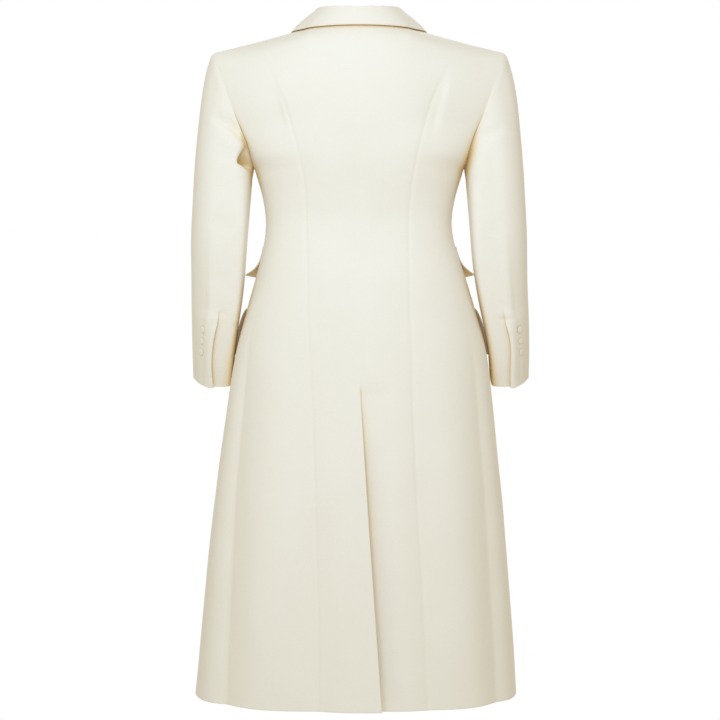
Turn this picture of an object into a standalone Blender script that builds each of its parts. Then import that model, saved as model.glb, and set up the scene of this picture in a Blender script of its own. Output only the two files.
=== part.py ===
"""Long tailored coat in its worn, hollow form.

Eight princess-seamed body panels, two-piece sleeves with cuff vents, a turned-down collar with
notched lapels, two pairs of flap pockets and a lapped centre-back vent.

The wearer faces -Y, their left is +X and +Z is up. The origin is midway between the neck points of
the two shoulder seams, where the wearer's shoulders carry the coat. All sizes are in millimetres;
each mesh is scaled to metres as it is made.
"""

import math
from collections import namedtuple

import bmesh
import bpy
import numpy as np
from mathutils import Vector

MM = 0.001
LEFT, RIGHT = 1, -1
BACK, FRONT = 1, -1

# Cloth
WALL = 2.0
SEAM_GAP = 0.3
LAYER_GAP = 0.7

# Landmarks of the body, as heights
HEM = -1050.0
VENT_TOP = -560.0
UNDERARM = -218.0
SHOULDER_TIP = -30.0
NECK_POINT = 10.0
NECK_BACK = 6.0
NECK_FRONT = -40.0

# Half widths across the shoulders and the neck
TIP_HALF_WIDTH = 229.0
NECK_HALF_WIDTH = 78.0
SHOULDER_HOLLOW = 1.5

# Outline of a level ring: 2 is an ellipse, more is squarer
BODY_SQUARENESS = 2.3
SLEEVE_SQUARENESS = 2.15
ARMHOLE_HALF_DEPTH = 50.0
RIDGE_FULLNESS = 5.0
RIDGE_ROUNDNESS = 1.6

# Front closing, right over left
FRONT_LAP = 22.0
BREAK_LEVEL = -215.0
GORGE_LEVEL = -72.0
UNDER_LAPEL_LEVEL = -158.0

# Back vent, left over right
VENT_LAP_TOP = 6.0
VENT_LAP_HEM = 39.0
VENT_UNDERLAP = 26.0
VENT_KICK = 9.0
VENT_TUCK = 7.0
VENT_REACH = 70.0
LAP_RAMP = 30.0

# Sleeve seams and cuff vent, as degrees round the sleeve from its outer side through the back
FRONT_SEAM = 250.0
CUFF_VENT_TOP, CUFF_VENT_RAMP = -450.0, 18.0
CUFF_VENT_LIFT, CUFF_LIFT_FROM, CUFF_LIFT_RAMP = 3.2, 0.6, 0.3
CUFF_PITCH = 19.0

# The hip pushes the right sleeve out and flattens it a little, more and more between two levels
HIP_PUSH_TOP, HIP_PUSH_BOTTOM = -260.0, -490.0
RIGHT_PUSH, RIGHT_FLATTENING, RIGHT_SLEEVE_CENTRE = 7.5, 0.10, 231.0

# Buttons
FRONT_BUTTON_RADIUS, FRONT_BUTTON_HEIGHT = 12.5, 6.0
CUFF_BUTTON_RADIUS, CUFF_BUTTON_HEIGHT = 6.0, 3.6
CUFF_BUTTON_INSET = 24.0
BUTTON_SIDES = 12

# A covered button's turned profile, as shares of its radius and its height
ButtonRing = namedtuple("ButtonRing", "radius height")
BUTTON_PROFILE = (
    ButtonRing(0.0, 0.0),
    ButtonRing(0.8, 0.0),
    ButtonRing(1.0, 0.35),
    ButtonRing(0.72, 0.86),
    ButtonRing(0.0, 1.0),
)

# Where a front button sits, and how far its flat back is from the curve of the front
FrontButton = namedtuple("FrontButton", "level seat")
FRONT_BUTTONS = (
    FrontButton(-238, -0.5),
    FrontButton(-306, 2.4),
    FrontButton(-374, 0.5),
)

# Where a cuff button sits, and how far its flat back is from the curve of the lapped sleeve
CuffButton = namedtuple("CuffButton", "level seat")
CUFF_BUTTONS = (
    CuffButton(-464, 0.5),
    CuffButton(-481, 0.5),
    CuffButton(-498, 0.3),
)

# A level of the body: half width at the side or armhole, depths behind and before the side line,
# and how far the worn coat sways to the wearer's left
Section = namedtuple("Section", "level half_width back front sway")
BODY = (
    Section(-1050, 255.5, 194, 176, 5.0),
    Section(-900, 243.5, 180, 164, 3.0),
    Section(-750, 229.5, 163, 150, 1.0),
    Section(-600, 212.0, 144, 134, -1.0),
    Section(-506, 198.5, 132, 120, -2.5),
    Section(-442, 184.0, 121, 113, -3.5),
    Section(-393, 170.0, 110, 107, -3.5),
    Section(-346, 156.0, 94, 101, -1.0),
    Section(-306, 148.5, 85, 98, 0.0),
    Section(-266, 153.0, 88, 110, 0.0),
    Section(-218, 167.0, 97, 125, 0.0),
    Section(-180, 179.0, 100, 121, 0.0),
    Section(-133, 198.0, 101, 109, 0.0),
    Section(-92, 212.0, 97, 92, 0.0),
    Section(-58, 222.0, 88, 74, 0.0),
    Section(-30, 229.0, 72, 56, 0.0),
)

# Where the princess seams cross a level, from the centre line
Seam = namedtuple("Seam", "level back_left back_right front")
SEAMS = (
    Seam(-1050, 57, 112, 128),
    Seam(-900, 61, 104, 116),
    Seam(-690, 70, 89, 99),
    Seam(-476, 82, 77, 84),
    Seam(-306, 83, 78, 72),
    Seam(-240, 86, 84, 84),
    Seam(-195, 97, 94, 98),
    Seam(-142, 114, 111, 117),
    Seam(-88, 138, 135, 138),
    Seam(-30, 165, 165, 165),
)

# A soft flute of the skirt: where it lies at its top and at the hem (0 centre line, 1 side seam), and
# how far it spreads towards the centre and towards the side. It is full before it reaches the hem.
FOLD_GROWTH = 1.3
Fold = namedtuple("Fold", "side face top_place hem_place top depth inward outward")
FOLDS = (
    Fold(LEFT, BACK, 0.24, 0.115, -470, -6.0, 0.07, 0.09),
    Fold(RIGHT, BACK, 0.225, 0.255, -470, -6.0, 0.07, 0.09),
    Fold(LEFT, BACK, 0.65, 0.58, -470, -9.0, 0.13, 0.06),
    Fold(RIGHT, BACK, 0.68, 0.62, -470, -8.0, 0.13, 0.06),
    Fold(LEFT, BACK, 0.43, 0.36, -450, 4.0, 0.12, 0.12),
    Fold(RIGHT, BACK, 0.45, 0.44, -450, 4.0, 0.12, 0.12),
    Fold(LEFT, FRONT, 0.34, 0.36, -450, -6.0, 0.09, 0.09),
    Fold(RIGHT, FRONT, 0.34, 0.36, -450, -6.0, 0.09, 0.09),
    Fold(LEFT, FRONT, 0.70, 0.66, -450, -6.0, 0.12, 0.07),
    Fold(RIGHT, FRONT, 0.71, 0.64, -450, -7.0, 0.12, 0.07),
)

# A level of the sleeve below the underarm: its centre and its half sizes
Cuff = namedtuple("Cuff", "level x y half_width half_depth")
SLEEVE = (
    Cuff(-234, 217.5, -2, 46.5, 60),
    Cuff(-330, 224.0, 3, 45.0, 55),
    Cuff(-420, 228.5, -7, 41.0, 51),
    Cuff(-500, 234.0, -28, 35.0, 47),
    Cuff(-550, 236.5, -46, 32.5, 44),
)

# Where the under sleeve begins at the back, and how far the upper sleeve laps over it
SleeveSeam = namedtuple("SleeveSeam", "level under lap")
SLEEVE_SEAM = (
    SleeveSeam(-550, 76, 18),
    SleeveSeam(-535, 75, 14),
    SleeveSeam(-515, 74, 12),
    SleeveSeam(-486, 78, 12),
    SleeveSeam(-468, 81, 13),
    SleeveSeam(-450, 90, 0),
    SleeveSeam(-400, 94, 0),
    SleeveSeam(-234, 98, 0),
)

# How wide the lapel is from its roll line, and its height over the front there and at its edge
LAPEL_SEAT, LAPEL_SPRING = 1.1, 3.2
Lapel = namedtuple("Lapel", "level width")
LAPELS = (
    Lapel(-215, 5),
    Lapel(-180, 30),
    Lapel(-140, 49),
    Lapel(-100, 62),
    Lapel(-74, 66),
)

# A pocket flap on the front: its levels, its ends (0 centre line, 1 side seam), how far it stands off.
# It flares out more and more towards its lower edge, and less at its fore end.
FLAP_SEAT, FLAP_FLARE, FLAP_FORE_SHARE = 0.6, 1.5, 0.4
Flap = namedtuple("Flap", "name top bottom rear fore stand_off")
FLAPS = (
    Flap("upper", -350, -391, 0.89, 0.30, 16.0),
    Flap("lower", -446, -502, 0.86, 0.32, 5.0),
)

# Grid sizes, and the levels of the body's rows up to the underarm
BODY_LEVELS = (
    (HEM, -985, -915, -845, -775, -710, -650, VENT_TOP - 30, VENT_TOP, VENT_TOP + 30)
    + (-485, -440, -395, -350, -306, -262, UNDERARM)
)
BODY_LEVELS_ABOVE = 8
ARM_LEVELS = (
    (-234, -270, -310, -350, -395, CUFF_VENT_TOP + CUFF_VENT_RAMP, CUFF_VENT_TOP)
    + (CUFF_VENT_TOP - CUFF_VENT_RAMP, -495, -524, -550)
)
CENTRE_COLUMNS, SIDE_COLUMNS = 6, 8
CAP_ROWS, SLEEVE_COLUMNS = 6, 11
LAPEL_ROWS, LAPEL_COLUMNS = 7, 3
FLAP_ROWS, FLAP_COLUMNS = 4, 6
COLLAR_BACK_STATIONS, COLLAR_FRONT_STATIONS = 7, 4

# Cloth of the coat and the thread-covered buttons: linear colour and roughness
IVORY_CLOTH = ("ivory_coating", (0.86, 0.84, 0.76, 1.0), 0.85)
IVORY_BUTTON = ("covered_button", (0.84, 0.81, 0.72, 1.0), 0.8)


def clear_scene():
    for obj in list(bpy.data.objects):
        bpy.data.objects.remove(obj)


def make_material(name, colour, roughness):
    material = bpy.data.materials.new(name)
    material.use_nodes = True
    shader = material.node_tree.nodes["Principled BSDF"]
    shader.inputs["Base Color"].default_value = colour
    shader.inputs["Roughness"].default_value = roughness
    shader.inputs["Metallic"].default_value = 0.0
    return material


def ease(value):
    """0 below 0, 1 above 1, and a smooth step between."""
    value = min(1.0, max(0.0, value))
    return value * value * (3 - 2 * value)


def mix(first, second, share):
    return first + (second - first) * share


def unit(vector):
    return vector / np.linalg.norm(vector)


def table_value(table, column, level):
    """Smooth value of a table's column at a level, between and through its rows."""
    levels = [row.level for row in table]
    values = [getattr(row, column) for row in table]
    rising = levels[0] < levels[-1]
    if not rising:
        levels, values = levels[::-1], values[::-1]
    level = min(max(level, levels[0]), levels[-1])
    i = min(max(j for j, key in enumerate(levels) if key <= level), len(levels) - 2)

    def slope(k):
        low, high = max(k - 1, 0), min(k + 1, len(levels) - 1)
        return (values[high] - values[low]) / (levels[high] - levels[low])

    step = levels[i + 1] - levels[i]
    q = (level - levels[i]) / step
    return (
        values[i] * (1 + 2 * q) * (1 - q) ** 2
        + slope(i) * step * q * (1 - q) ** 2
        + values[i + 1] * q * q * (3 - 2 * q)
        + slope(i + 1) * step * q * q * (q - 1)
    )


# Body surface


def rise(level):
    """How far a level is from the underarm (0) to the shoulder line (1)."""
    return min(1.0, max(0.0, (level - UNDERARM) / (SHOULDER_TIP - UNDERARM)))


def top_height(face, x):
    """Height of the neckline or the shoulder seam at a distance from the centre line."""
    x = abs(x)
    if x > NECK_HALF_WIDTH:
        share = (x - NECK_HALF_WIDTH) / (TIP_HALF_WIDTH - NECK_HALF_WIDTH)
        return mix(NECK_POINT, SHOULDER_TIP, share) - SHOULDER_HOLLOW * math.sin(math.pi * share)
    centre = NECK_BACK if face == BACK else NECK_FRONT
    return mix(centre, NECK_POINT, (x / NECK_HALF_WIDTH) ** 2)


def fold_depth(side, face, place, level):
    """How far the skirt's flutes move the cloth out at a place."""
    total = 0.0
    for fold in FOLDS:
        if (fold.side, fold.face) != (side, face) or level > fold.top:
            continue
        down = (fold.top - level) / (fold.top - HEM)
        line = mix(fold.top_place, fold.hem_place, down)
        spread = fold.outward if place > line else fold.inward
        total += fold.depth * ease(down * FOLD_GROWTH) * math.exp(-(((place - line) / spread) ** 2))
    return total


def body_point(side, face, place, level):
    """A point of the coat's outside. Place runs from the centre line (0) to the side seam or
    armhole (1), and is negative past the centre line."""
    half_width = table_value(BODY, "half_width", level)
    depth = table_value(BODY, "back" if face == BACK else "front", level)
    share = abs(math.sin(place * math.pi / 2)) ** (2 / BODY_SQUARENESS)
    x = half_width * share
    up = rise(level)
    corner = mix(BODY_SQUARENESS, 1.0, ease(up / 0.35))
    round_side = max(0.0, 1 - share**BODY_SQUARENESS) ** (1 / corner)
    ridge = max(0.0, 1 - up**RIDGE_FULLNESS) ** (1 / RIDGE_ROUNDNESS)
    neck = math.sqrt(max(0.0, 1 - (x / NECK_HALF_WIDTH) ** 2))
    armhole = ARMHOLE_HALF_DEPTH * max(0.0, math.sin(math.pi * up**0.8)) ** 0.7
    y = mix(armhole, depth, mix(neck, round_side, ridge))
    z = level if up == 0 else mix(UNDERARM, top_height(face, x), up)
    out = fold_depth(side, face, place, level) / math.hypot(x, y)
    x, y = x * (1 + out), y * (1 + out)
    sway = table_value(BODY, "sway", level)
    return np.array((side * math.copysign(x, place) + sway, face * y, z))


def body_normal(side, face, place, level):
    """Unit normal of the outside, the same on both panels that meet at a seam."""
    x = body_point(side, face, place, level)[0]
    if rise(level) == 1 and abs(x) >= NECK_HALF_WIDTH - 1e-6:
        slope = (top_height(face, abs(x) - 1) - top_height(face, abs(x) + 1)) / 2
        return unit(np.array((math.copysign(slope, x), 0.0, 1.0)))
    d_place, d_level = 2e-3, 0.5
    across = body_point(side, face, min(place + d_place, 1.0), level) - body_point(
        side, face, place - d_place, level
    )
    along = body_point(side, face, place, min(level + d_level, SHOULDER_TIP)) - body_point(
        side, face, place, max(level - d_level, HEM)
    )
    if place == 1 and rise(level) == 0:
        across = np.array((0.0, -face, 0.0))
    return unit(np.cross(along, across)) * side * face


def place_of(x, level):
    """The place on a level that lies x from the centre line."""
    share = min(1.0, abs(x) / table_value(BODY, "half_width", level))
    return math.copysign(2 / math.pi * math.asin(share ** (BODY_SQUARENESS / 2)), x)


def body_levels():
    above = [
        mix(UNDERARM, SHOULDER_TIP, 1 - (1 - i / BODY_LEVELS_ABOVE) ** 1.5)
        for i in range(1, BODY_LEVELS_ABOVE + 1)
    ]
    return list(BODY_LEVELS) + above


# Edges of the panels, as distances from the centre line


def vent_drop(level):
    """0 at the top of the back vent and 1 at the hem."""
    return max(0.0, (VENT_TOP - level) / (VENT_TOP - HEM))


def back_edge(side, level):
    """Centre-back seam, and below it the vent's overlap (left) and underlap (right)."""
    opening = ease((VENT_TOP - level) / LAP_RAMP)
    if side == LEFT:
        return -opening * mix(VENT_LAP_TOP, VENT_LAP_HEM, vent_drop(level))
    return -opening * VENT_UNDERLAP


def front_edge(level):
    """Front edge, and above the break the roll line up to the neck point."""
    if level < BREAK_LEVEL:
        return -FRONT_LAP
    up = (level - BREAK_LEVEL) / (SHOULDER_TIP - BREAK_LEVEL)
    return mix(-FRONT_LAP, NECK_HALF_WIDTH, up)


def back_seam(side, level):
    return table_value(SEAMS, "back_left" if side == LEFT else "back_right", level)


def front_seam(level):
    return table_value(SEAMS, "front", level)


def back_lift(side, x, level):
    """The vent's edges: the left one kicks out, the right one is tucked under it."""
    if side == LEFT:
        return VENT_KICK * ease(1 - x / VENT_REACH) * vent_drop(level)
    near = ease(1 - (x - VENT_LAP_HEM * vent_drop(level)) / VENT_REACH)
    under = (WALL + LAYER_GAP) * ease((VENT_TOP + LAP_RAMP - level) / LAP_RAMP)
    return -near * (under + VENT_TUCK * vent_drop(level))


def front_lift(side, x):
    """The left front passes under the right one."""
    if side == RIGHT:
        return 0.0
    return -(WALL + LAYER_GAP) * ease((FRONT_LAP + LAP_RAMP - x) / LAP_RAMP)


# Solids


def add_solid(name, points, faces, material):
    """A closed mesh facing out, in metres, as a node of the coat."""
    mesh = bpy.data.meshes.new(name)
    mesh.from_pydata([tuple(p * MM) for p in points], [], faces)
    work = bmesh.new()
    work.from_mesh(mesh)
    bmesh.ops.recalc_face_normals(work, faces=work.faces)
    if work.calc_volume(signed=True) < 0:
        bmesh.ops.reverse_faces(work, faces=work.faces)
    work.to_mesh(mesh)
    work.free()
    mesh.shade_smooth()
    mesh.set_sharp_from_angle(angle=math.radians(40))
    mesh.materials.append(material)
    obj = bpy.data.objects.new(name, mesh)
    bpy.context.scene.collection.objects.link(obj)
    return obj


def add_wall(name, outside, inside, material):
    """A cloth wall between two grids of points of the same size."""
    rows, columns = outside.shape[:2]
    count = rows * columns
    points = np.concatenate([outside.reshape(-1, 3), inside.reshape(-1, 3)])

    def at(row, column, layer):
        return layer * count + row * columns + column

    faces = []
    for row in range(rows - 1):
        for column in range(columns - 1):
            for layer in (0, 1):
                ring = [
                    at(row, column, layer),
                    at(row, column + 1, layer),
                    at(row + 1, column + 1, layer),
                    at(row + 1, column, layer),
                ]
                faces.append(ring if layer == 0 else ring[::-1])
    border = [(0, column) for column in range(columns - 1)]
    border += [(row, columns - 1) for row in range(rows - 1)]
    border += [(rows - 1, column) for column in range(columns - 1, 0, -1)]
    border += [(row, 0) for row in range(rows - 1, 0, -1)]
    for first, second in zip(border, border[1:] + border[:1]):
        faces.append([at(*second, 0), at(*first, 0), at(*first, 1), at(*second, 1)])
    return add_solid(name, points, faces, material)


def draw_in(grid, edges, distance=SEAM_GAP / 2):
    """Moves the named edges of a grid in along the cloth, to leave half a seam's gap."""
    views = {
        "start": (grid[:, 0], grid[:, 1]),
        "end": (grid[:, -1], grid[:, -2]),
        "top": (grid[-1], grid[-2]),
    }
    for edge in edges:
        line, neighbour = views[edge]
        away = neighbour - line
        line += away / np.linalg.norm(away, axis=1, keepdims=True) * distance


def body_wall(side, face, edge_places, lift, levels, columns, edges):
    """Outside and inside grids of a body panel between two edges."""
    outside, inside = [], []
    for level in levels:
        first, last = edge_places(level)
        row_out, row_in = [], []
        for j in range(columns + 1):
            place = mix(first, last, j / columns)
            point = body_point(side, face, place, level)
            normal = body_normal(side, face, place, level)
            from_centre = side * (point[0] - table_value(BODY, "sway", level))
            point = point + normal * lift(from_centre, level)
            row_out.append(point)
            row_in.append(point - normal * WALL)
        outside.append(row_out)
        inside.append(row_in)
    outside, inside = np.array(outside), np.array(inside)
    for grid in (outside, inside):
        draw_in(grid, edges)
    return outside, inside


def make_body(cloth):
    levels = body_levels()
    for side, tag in ((LEFT, "L"), (RIGHT, "R")):
        back_centre = body_wall(
            side,
            BACK,
            lambda h: (place_of(back_edge(side, h), h), place_of(back_seam(side, h), h)),
            lambda x, h: back_lift(side, x, h),
            levels,
            CENTRE_COLUMNS,
            ("start", "end", "top"),
        )
        back_side = body_wall(
            side,
            BACK,
            lambda h: (place_of(back_seam(side, h), h), 1.0),
            lambda x, h: back_lift(side, x, h),
            levels,
            SIDE_COLUMNS,
            ("start", "end", "top"),
        )
        front_side = body_wall(
            side,
            FRONT,
            lambda h: (place_of(front_seam(h), h), 1.0),
            lambda x, h: 0.0,
            levels,
            SIDE_COLUMNS,
            ("start", "end", "top"),
        )
        front = body_wall(
            side,
            FRONT,
            lambda h: (place_of(front_edge(h), h), place_of(front_seam(h), h)),
            lambda x, h: front_lift(side, x),
            levels,
            CENTRE_COLUMNS,
            ("end", "top"),
        )
        add_wall(f"back_centre_{tag}", *back_centre, cloth)
        add_wall(f"back_side_{tag}", *back_side, cloth)
        add_wall(f"front_side_{tag}", *front_side, cloth)
        add_wall(f"front_{tag}", *front, cloth)


def make_lapels(cloth):
    """Each lapel is its front's own points between the roll line and the lapel's edge, moved out."""
    for side, tag, lowest in ((LEFT, "L", UNDER_LAPEL_LEVEL), (RIGHT, "R", BREAK_LEVEL + 2)):
        levels = [mix(lowest, GORGE_LEVEL - 2, i / LAPEL_ROWS) for i in range(LAPEL_ROWS + 1)]
        outside, inside = [], []
        for level in levels:
            start = front_edge(level) + 1.0
            width = table_value(LAPELS, "width", level)
            row_out, row_in = [], []
            for j in range(LAPEL_COLUMNS + 1):
                across = j / LAPEL_COLUMNS
                x = start + width * across
                place = place_of(x, level)
                normal = body_normal(side, FRONT, place, level)
                on_front = body_point(side, FRONT, place, level) + normal * front_lift(side, x)
                seat = on_front + normal * mix(LAPEL_SEAT, LAPEL_SPRING, across)
                row_out.append(seat + normal * WALL)
                row_in.append(seat)
            outside.append(row_out)
            inside.append(row_in)
        add_wall(f"lapel_{tag}", np.array(outside), np.array(inside), cloth)


# Collar

Stand = namedtuple("Stand", "seam fold middle edge")
STAND_BACK, STAND_SIDE, STAND_END = 23.0, 26.0, 5.0
FOLD_HALF_WIDTH, FOLD_DEPTH = 68.0, 77.0
FALL_HALF_WIDTH, FALL_DEPTH, FALL_HEIGHT = 108.0, 85.0, -0.5
FALL_SEAT, FALL_FULLNESS, FALL_END_X, FALL_END_LEVEL = 3.2, 1.5, 100.0, -68.0
FOLD_TURN, STAND_INSET = 4.0, 2.8
COLLAR_SEAM_DEPTH, STAND_CLEARANCE = 72.0, 1.5


def collar_back_station(turn):
    """Neck seam, fold and fall edge at an angle from the centre back (0) to the shoulder (90)."""
    sin, cos = math.sin(math.radians(turn)), math.cos(math.radians(turn))
    side = sin * sin
    seam = np.array((NECK_HALF_WIDTH * sin, COLLAR_SEAM_DEPTH * cos, mix(NECK_BACK, NECK_POINT, side)))
    fold_height = mix(NECK_BACK + STAND_BACK, NECK_POINT + STAND_SIDE, side)
    fold = np.array((FOLD_HALF_WIDTH * sin, FOLD_DEPTH * cos, fold_height))
    shoulder = top_height(BACK, FALL_HALF_WIDTH) + FALL_SEAT
    edge = np.array((FALL_HALF_WIDTH * sin, FALL_DEPTH * cos, mix(FALL_HEIGHT, shoulder, side**3)))
    middle = mix(fold, edge, 0.5) + np.array((0.0, 0.0, FALL_FULLNESS))
    return Stand(seam, fold, middle, edge)


def collar_front_station(down):
    """The same from the shoulder (0) down the roll line to the gorge (1)."""
    level = mix(SHOULDER_TIP, GORGE_LEVEL + 2, down)
    inset = STAND_INSET * ease(down * 3)
    seam = body_point(LEFT, FRONT, place_of(front_edge(level) - inset, level), level)
    lean = np.array((FOLD_HALF_WIDTH - NECK_HALF_WIDTH, -2.0, STAND_SIDE))
    fold = seam + mix(lean, np.array((-1.0, -3.0, STAND_END)), down)
    edge_x = mix(FALL_HALF_WIDTH, FALL_END_X, down)
    edge_level = mix(SHOULDER_TIP, FALL_END_LEVEL, down)
    edge = over_front(edge_x, edge_level, FALL_SEAT)
    hanging = mix(fold, edge, 0.5) + np.array((0.0, 0.0, FALL_FULLNESS))
    halfway = mix(front_edge(level), edge_x, 0.5), mix(level, edge_level, 0.5)
    lying = over_front(*halfway, FALL_SEAT + FALL_FULLNESS)
    return Stand(seam, fold, mix(hanging, lying, ease(down * 1.5)), edge)


def over_front(x, level, height):
    """A point of the left front moved out."""
    place = place_of(x, level)
    return body_point(LEFT, FRONT, place, level) + body_normal(LEFT, FRONT, place, level) * height


def collar_line(station):
    """Middle of the folded cloth, from the neck seam over the fold to the fall's edge."""
    up = unit(station.fold - station.seam)
    down = unit(station.middle - station.fold)
    seat = station.seam + up * STAND_CLEARANCE
    turn = min(FOLD_TURN, 0.4 * np.linalg.norm(station.fold - station.seam))
    return [
        seat,
        mix(seat, station.fold, 0.5),
        station.fold - up * turn,
        station.fold + np.array((0.0, 0.0, 1.0)),
        station.fold + down * turn,
        station.middle,
        station.edge,
    ]


def grid_normals(grid):
    """Unit normals of a grid of points, from its neighbours."""
    along = np.gradient(grid, axis=0)
    across = np.gradient(grid, axis=1)
    normal = np.cross(along, across)
    return normal / np.linalg.norm(normal, axis=2, keepdims=True)


def make_collar(cloth):
    half = [collar_back_station(90 * i / COLLAR_BACK_STATIONS) for i in range(COLLAR_BACK_STATIONS)]
    half += [
        collar_front_station(i / COLLAR_FRONT_STATIONS) for i in range(COLLAR_FRONT_STATIONS + 1)
    ]
    lines = [np.array(collar_line(station)) for station in half]
    mirrored = [line * np.array((-1.0, 1.0, 1.0)) for line in lines[:0:-1]]
    grid = np.array(mirrored + lines)
    normal = grid_normals(grid)
    add_wall("collar", grid + normal * WALL / 2, grid - normal * WALL / 2, cloth)


# Sleeves: how the cap's curve leaves the armhole and runs into the arm

CAP_OUTWARD, CAP_LEAVE, CAP_LEAN, CAP_ARRIVE = 0.75, 0.32, 0.06, 0.95


def armhole_normal():
    """Direction out of the armhole, away from the body."""
    rise_x = TIP_HALF_WIDTH - table_value(BODY, "half_width", UNDERARM)
    return unit(np.array((SHOULDER_TIP - UNDERARM, 0.0, -rise_x)))


def armhole_point(turn):
    """The armhole's edge, by degrees from the shoulder tip through the back."""
    level = mix(UNDERARM, SHOULDER_TIP, (1 + math.cos(math.radians(turn))) / 2)
    face = BACK if turn % 360 <= 180 else FRONT
    return body_point(LEFT, face, 1.0, level)


def arm_point(turn, level):
    """The sleeve's outside below the underarm; its rings tip forward with the forearm."""
    x, y, half_width, half_depth = (
        table_value(SLEEVE, column, level) for column in ("x", "y", "half_width", "half_depth")
    )
    power = 2 / SLEEVE_SQUARENESS
    cos, sin = math.cos(math.radians(turn)), math.sin(math.radians(turn))
    out = math.copysign(abs(cos) ** power, cos) * half_width
    behind = math.copysign(abs(sin) ** power, sin) * half_depth
    bend = ease((SLEEVE[1].level - level) / (SLEEVE[1].level - SLEEVE[-1].level))
    drop = math.tan(math.radians(CUFF_PITCH)) * bend * behind
    return np.array((x + out, y + behind, level - drop))


def cap_point(turn, down):
    """The sleeve cap's outside, from the armhole (0) to the first ring of the arm (1)."""
    start = armhole_point(turn) + armhole_normal() * SEAM_GAP
    end = arm_point(turn, SLEEVE[0].level)
    span = np.linalg.norm(end - start)
    leave = unit(mix(unit(end - start), armhole_normal(), CAP_OUTWARD)) * span * CAP_LEAVE
    arrive = unit(np.array((CAP_LEAN, 0.0, -1.0))) * span * CAP_ARRIVE
    q = down
    return (
        start * (1 + 2 * q) * (1 - q) ** 2
        + leave * q * (1 - q) ** 2
        + end * q * q * (3 - 2 * q)
        + arrive * q * q * (q - 1)
    )


def sleeve_point(turn, along):
    """The sleeve's outside: along runs over the cap (0 to 1), then down the arm (1 to 2)."""
    if along <= 1:
        return cap_point(turn, along)
    return arm_point(turn, mix(SLEEVE[0].level, SLEEVE[-1].level, along - 1))


def sleeve_normal(turn, along):
    d_turn, d_along = 1.0, 0.01
    low, high = max(along - d_along, 0.0), min(along + d_along, 2.0)
    down = sleeve_point(turn, high) - sleeve_point(turn, low)
    across = sleeve_point(turn + d_turn, along) - sleeve_point(turn - d_turn, along)
    normal = unit(np.cross(across, down)) * -1.0
    if along == 0:
        towards_body = max(0.0, float(normal @ armhole_normal()))
        normal = unit(normal - armhole_normal() * towards_body)
    return normal


def arm_level(along):
    """The level of a place along the sleeve, the first ring's over the cap."""
    return mix(SLEEVE[0].level, SLEEVE[-1].level, max(0.0, along - 1))


def under_edge(along):
    return table_value(SLEEVE_SEAM, "under", arm_level(along))


def upper_edge(along):
    """Where the upper sleeve ends: at the seam, and below it past the under sleeve's edge."""
    lap = table_value(SLEEVE_SEAM, "lap", arm_level(along))
    return under_edge(along) + (max(0.0, lap) if arm_level(along) < CUFF_VENT_TOP else 0.0)


def along_arm(level):
    """The place along the sleeve of a level of the arm."""
    return 1 + (level - SLEEVE[0].level) / (SLEEVE[-1].level - SLEEVE[0].level)


def below(top, along):
    """0 down to a level of the arm, then 1 after a short ramp."""
    return ease((top - arm_level(along)) / CUFF_VENT_RAMP)


def cuff_vent_lift(share, along):
    """The upper sleeve rises near its back edge just above the vent, before it laps."""
    near_edge = ease((share - CUFF_LIFT_FROM) / CUFF_LIFT_RAMP)
    return CUFF_VENT_LIFT * below(CUFF_VENT_TOP + CUFF_VENT_RAMP, along) * near_edge


def sleeve_rows():
    return [i / CAP_ROWS for i in range(CAP_ROWS)] + [along_arm(level) for level in ARM_LEVELS]


def sleeve_wall(first_turn, last_turn, lift):
    """Outside and inside grids of a half sleeve between two seams, for the left arm."""
    outside, inside = [], []
    for along in sleeve_rows():
        row_out, row_in = [], []
        for j in range(SLEEVE_COLUMNS + 1):
            share = j / SLEEVE_COLUMNS
            turn = mix(first_turn(along), last_turn(along), share)
            normal = sleeve_normal(turn, along)
            point = sleeve_point(turn, along) + normal * lift(share, along)
            row_out.append(point)
            row_in.append(point - normal * WALL)
        outside.append(row_out)
        inside.append(row_in)
    outside, inside = np.array(outside), np.array(inside)
    for grid in (outside, inside):
        draw_in(grid, ("start", "end"))
    return outside, inside


def worn(side, points):
    """Points worked out for the left sleeve, on the side where they are worn."""
    points = points * np.array((side, 1.0, 1.0))
    if side == RIGHT:
        down = np.clip((HIP_PUSH_TOP - points[..., 2]) / (HIP_PUSH_TOP - HIP_PUSH_BOTTOM), 0.0, 1.0)
        push = down * down * (3 - 2 * down)
        flat = mix(points[..., 0], -RIGHT_SLEEVE_CENTRE, RIGHT_FLATTENING * push)
        points[..., 0] = flat - RIGHT_PUSH * push
    return points


def make_sleeves(cloth):
    """The upper sleeve laps over the under sleeve at the cuff's vent."""
    upper = sleeve_wall(
        lambda along: FRONT_SEAM - 360,
        upper_edge,
        cuff_vent_lift,
    )
    under = sleeve_wall(under_edge, lambda along: FRONT_SEAM, lambda share, along: 0.0)
    for side, tag in ((LEFT, "L"), (RIGHT, "R")):
        for name, (outside, inside) in (("upper", upper), ("under", under)):
            add_wall(f"sleeve_{name}_{tag}", worn(side, outside), worn(side, inside), cloth)


# Pockets and buttons


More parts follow.
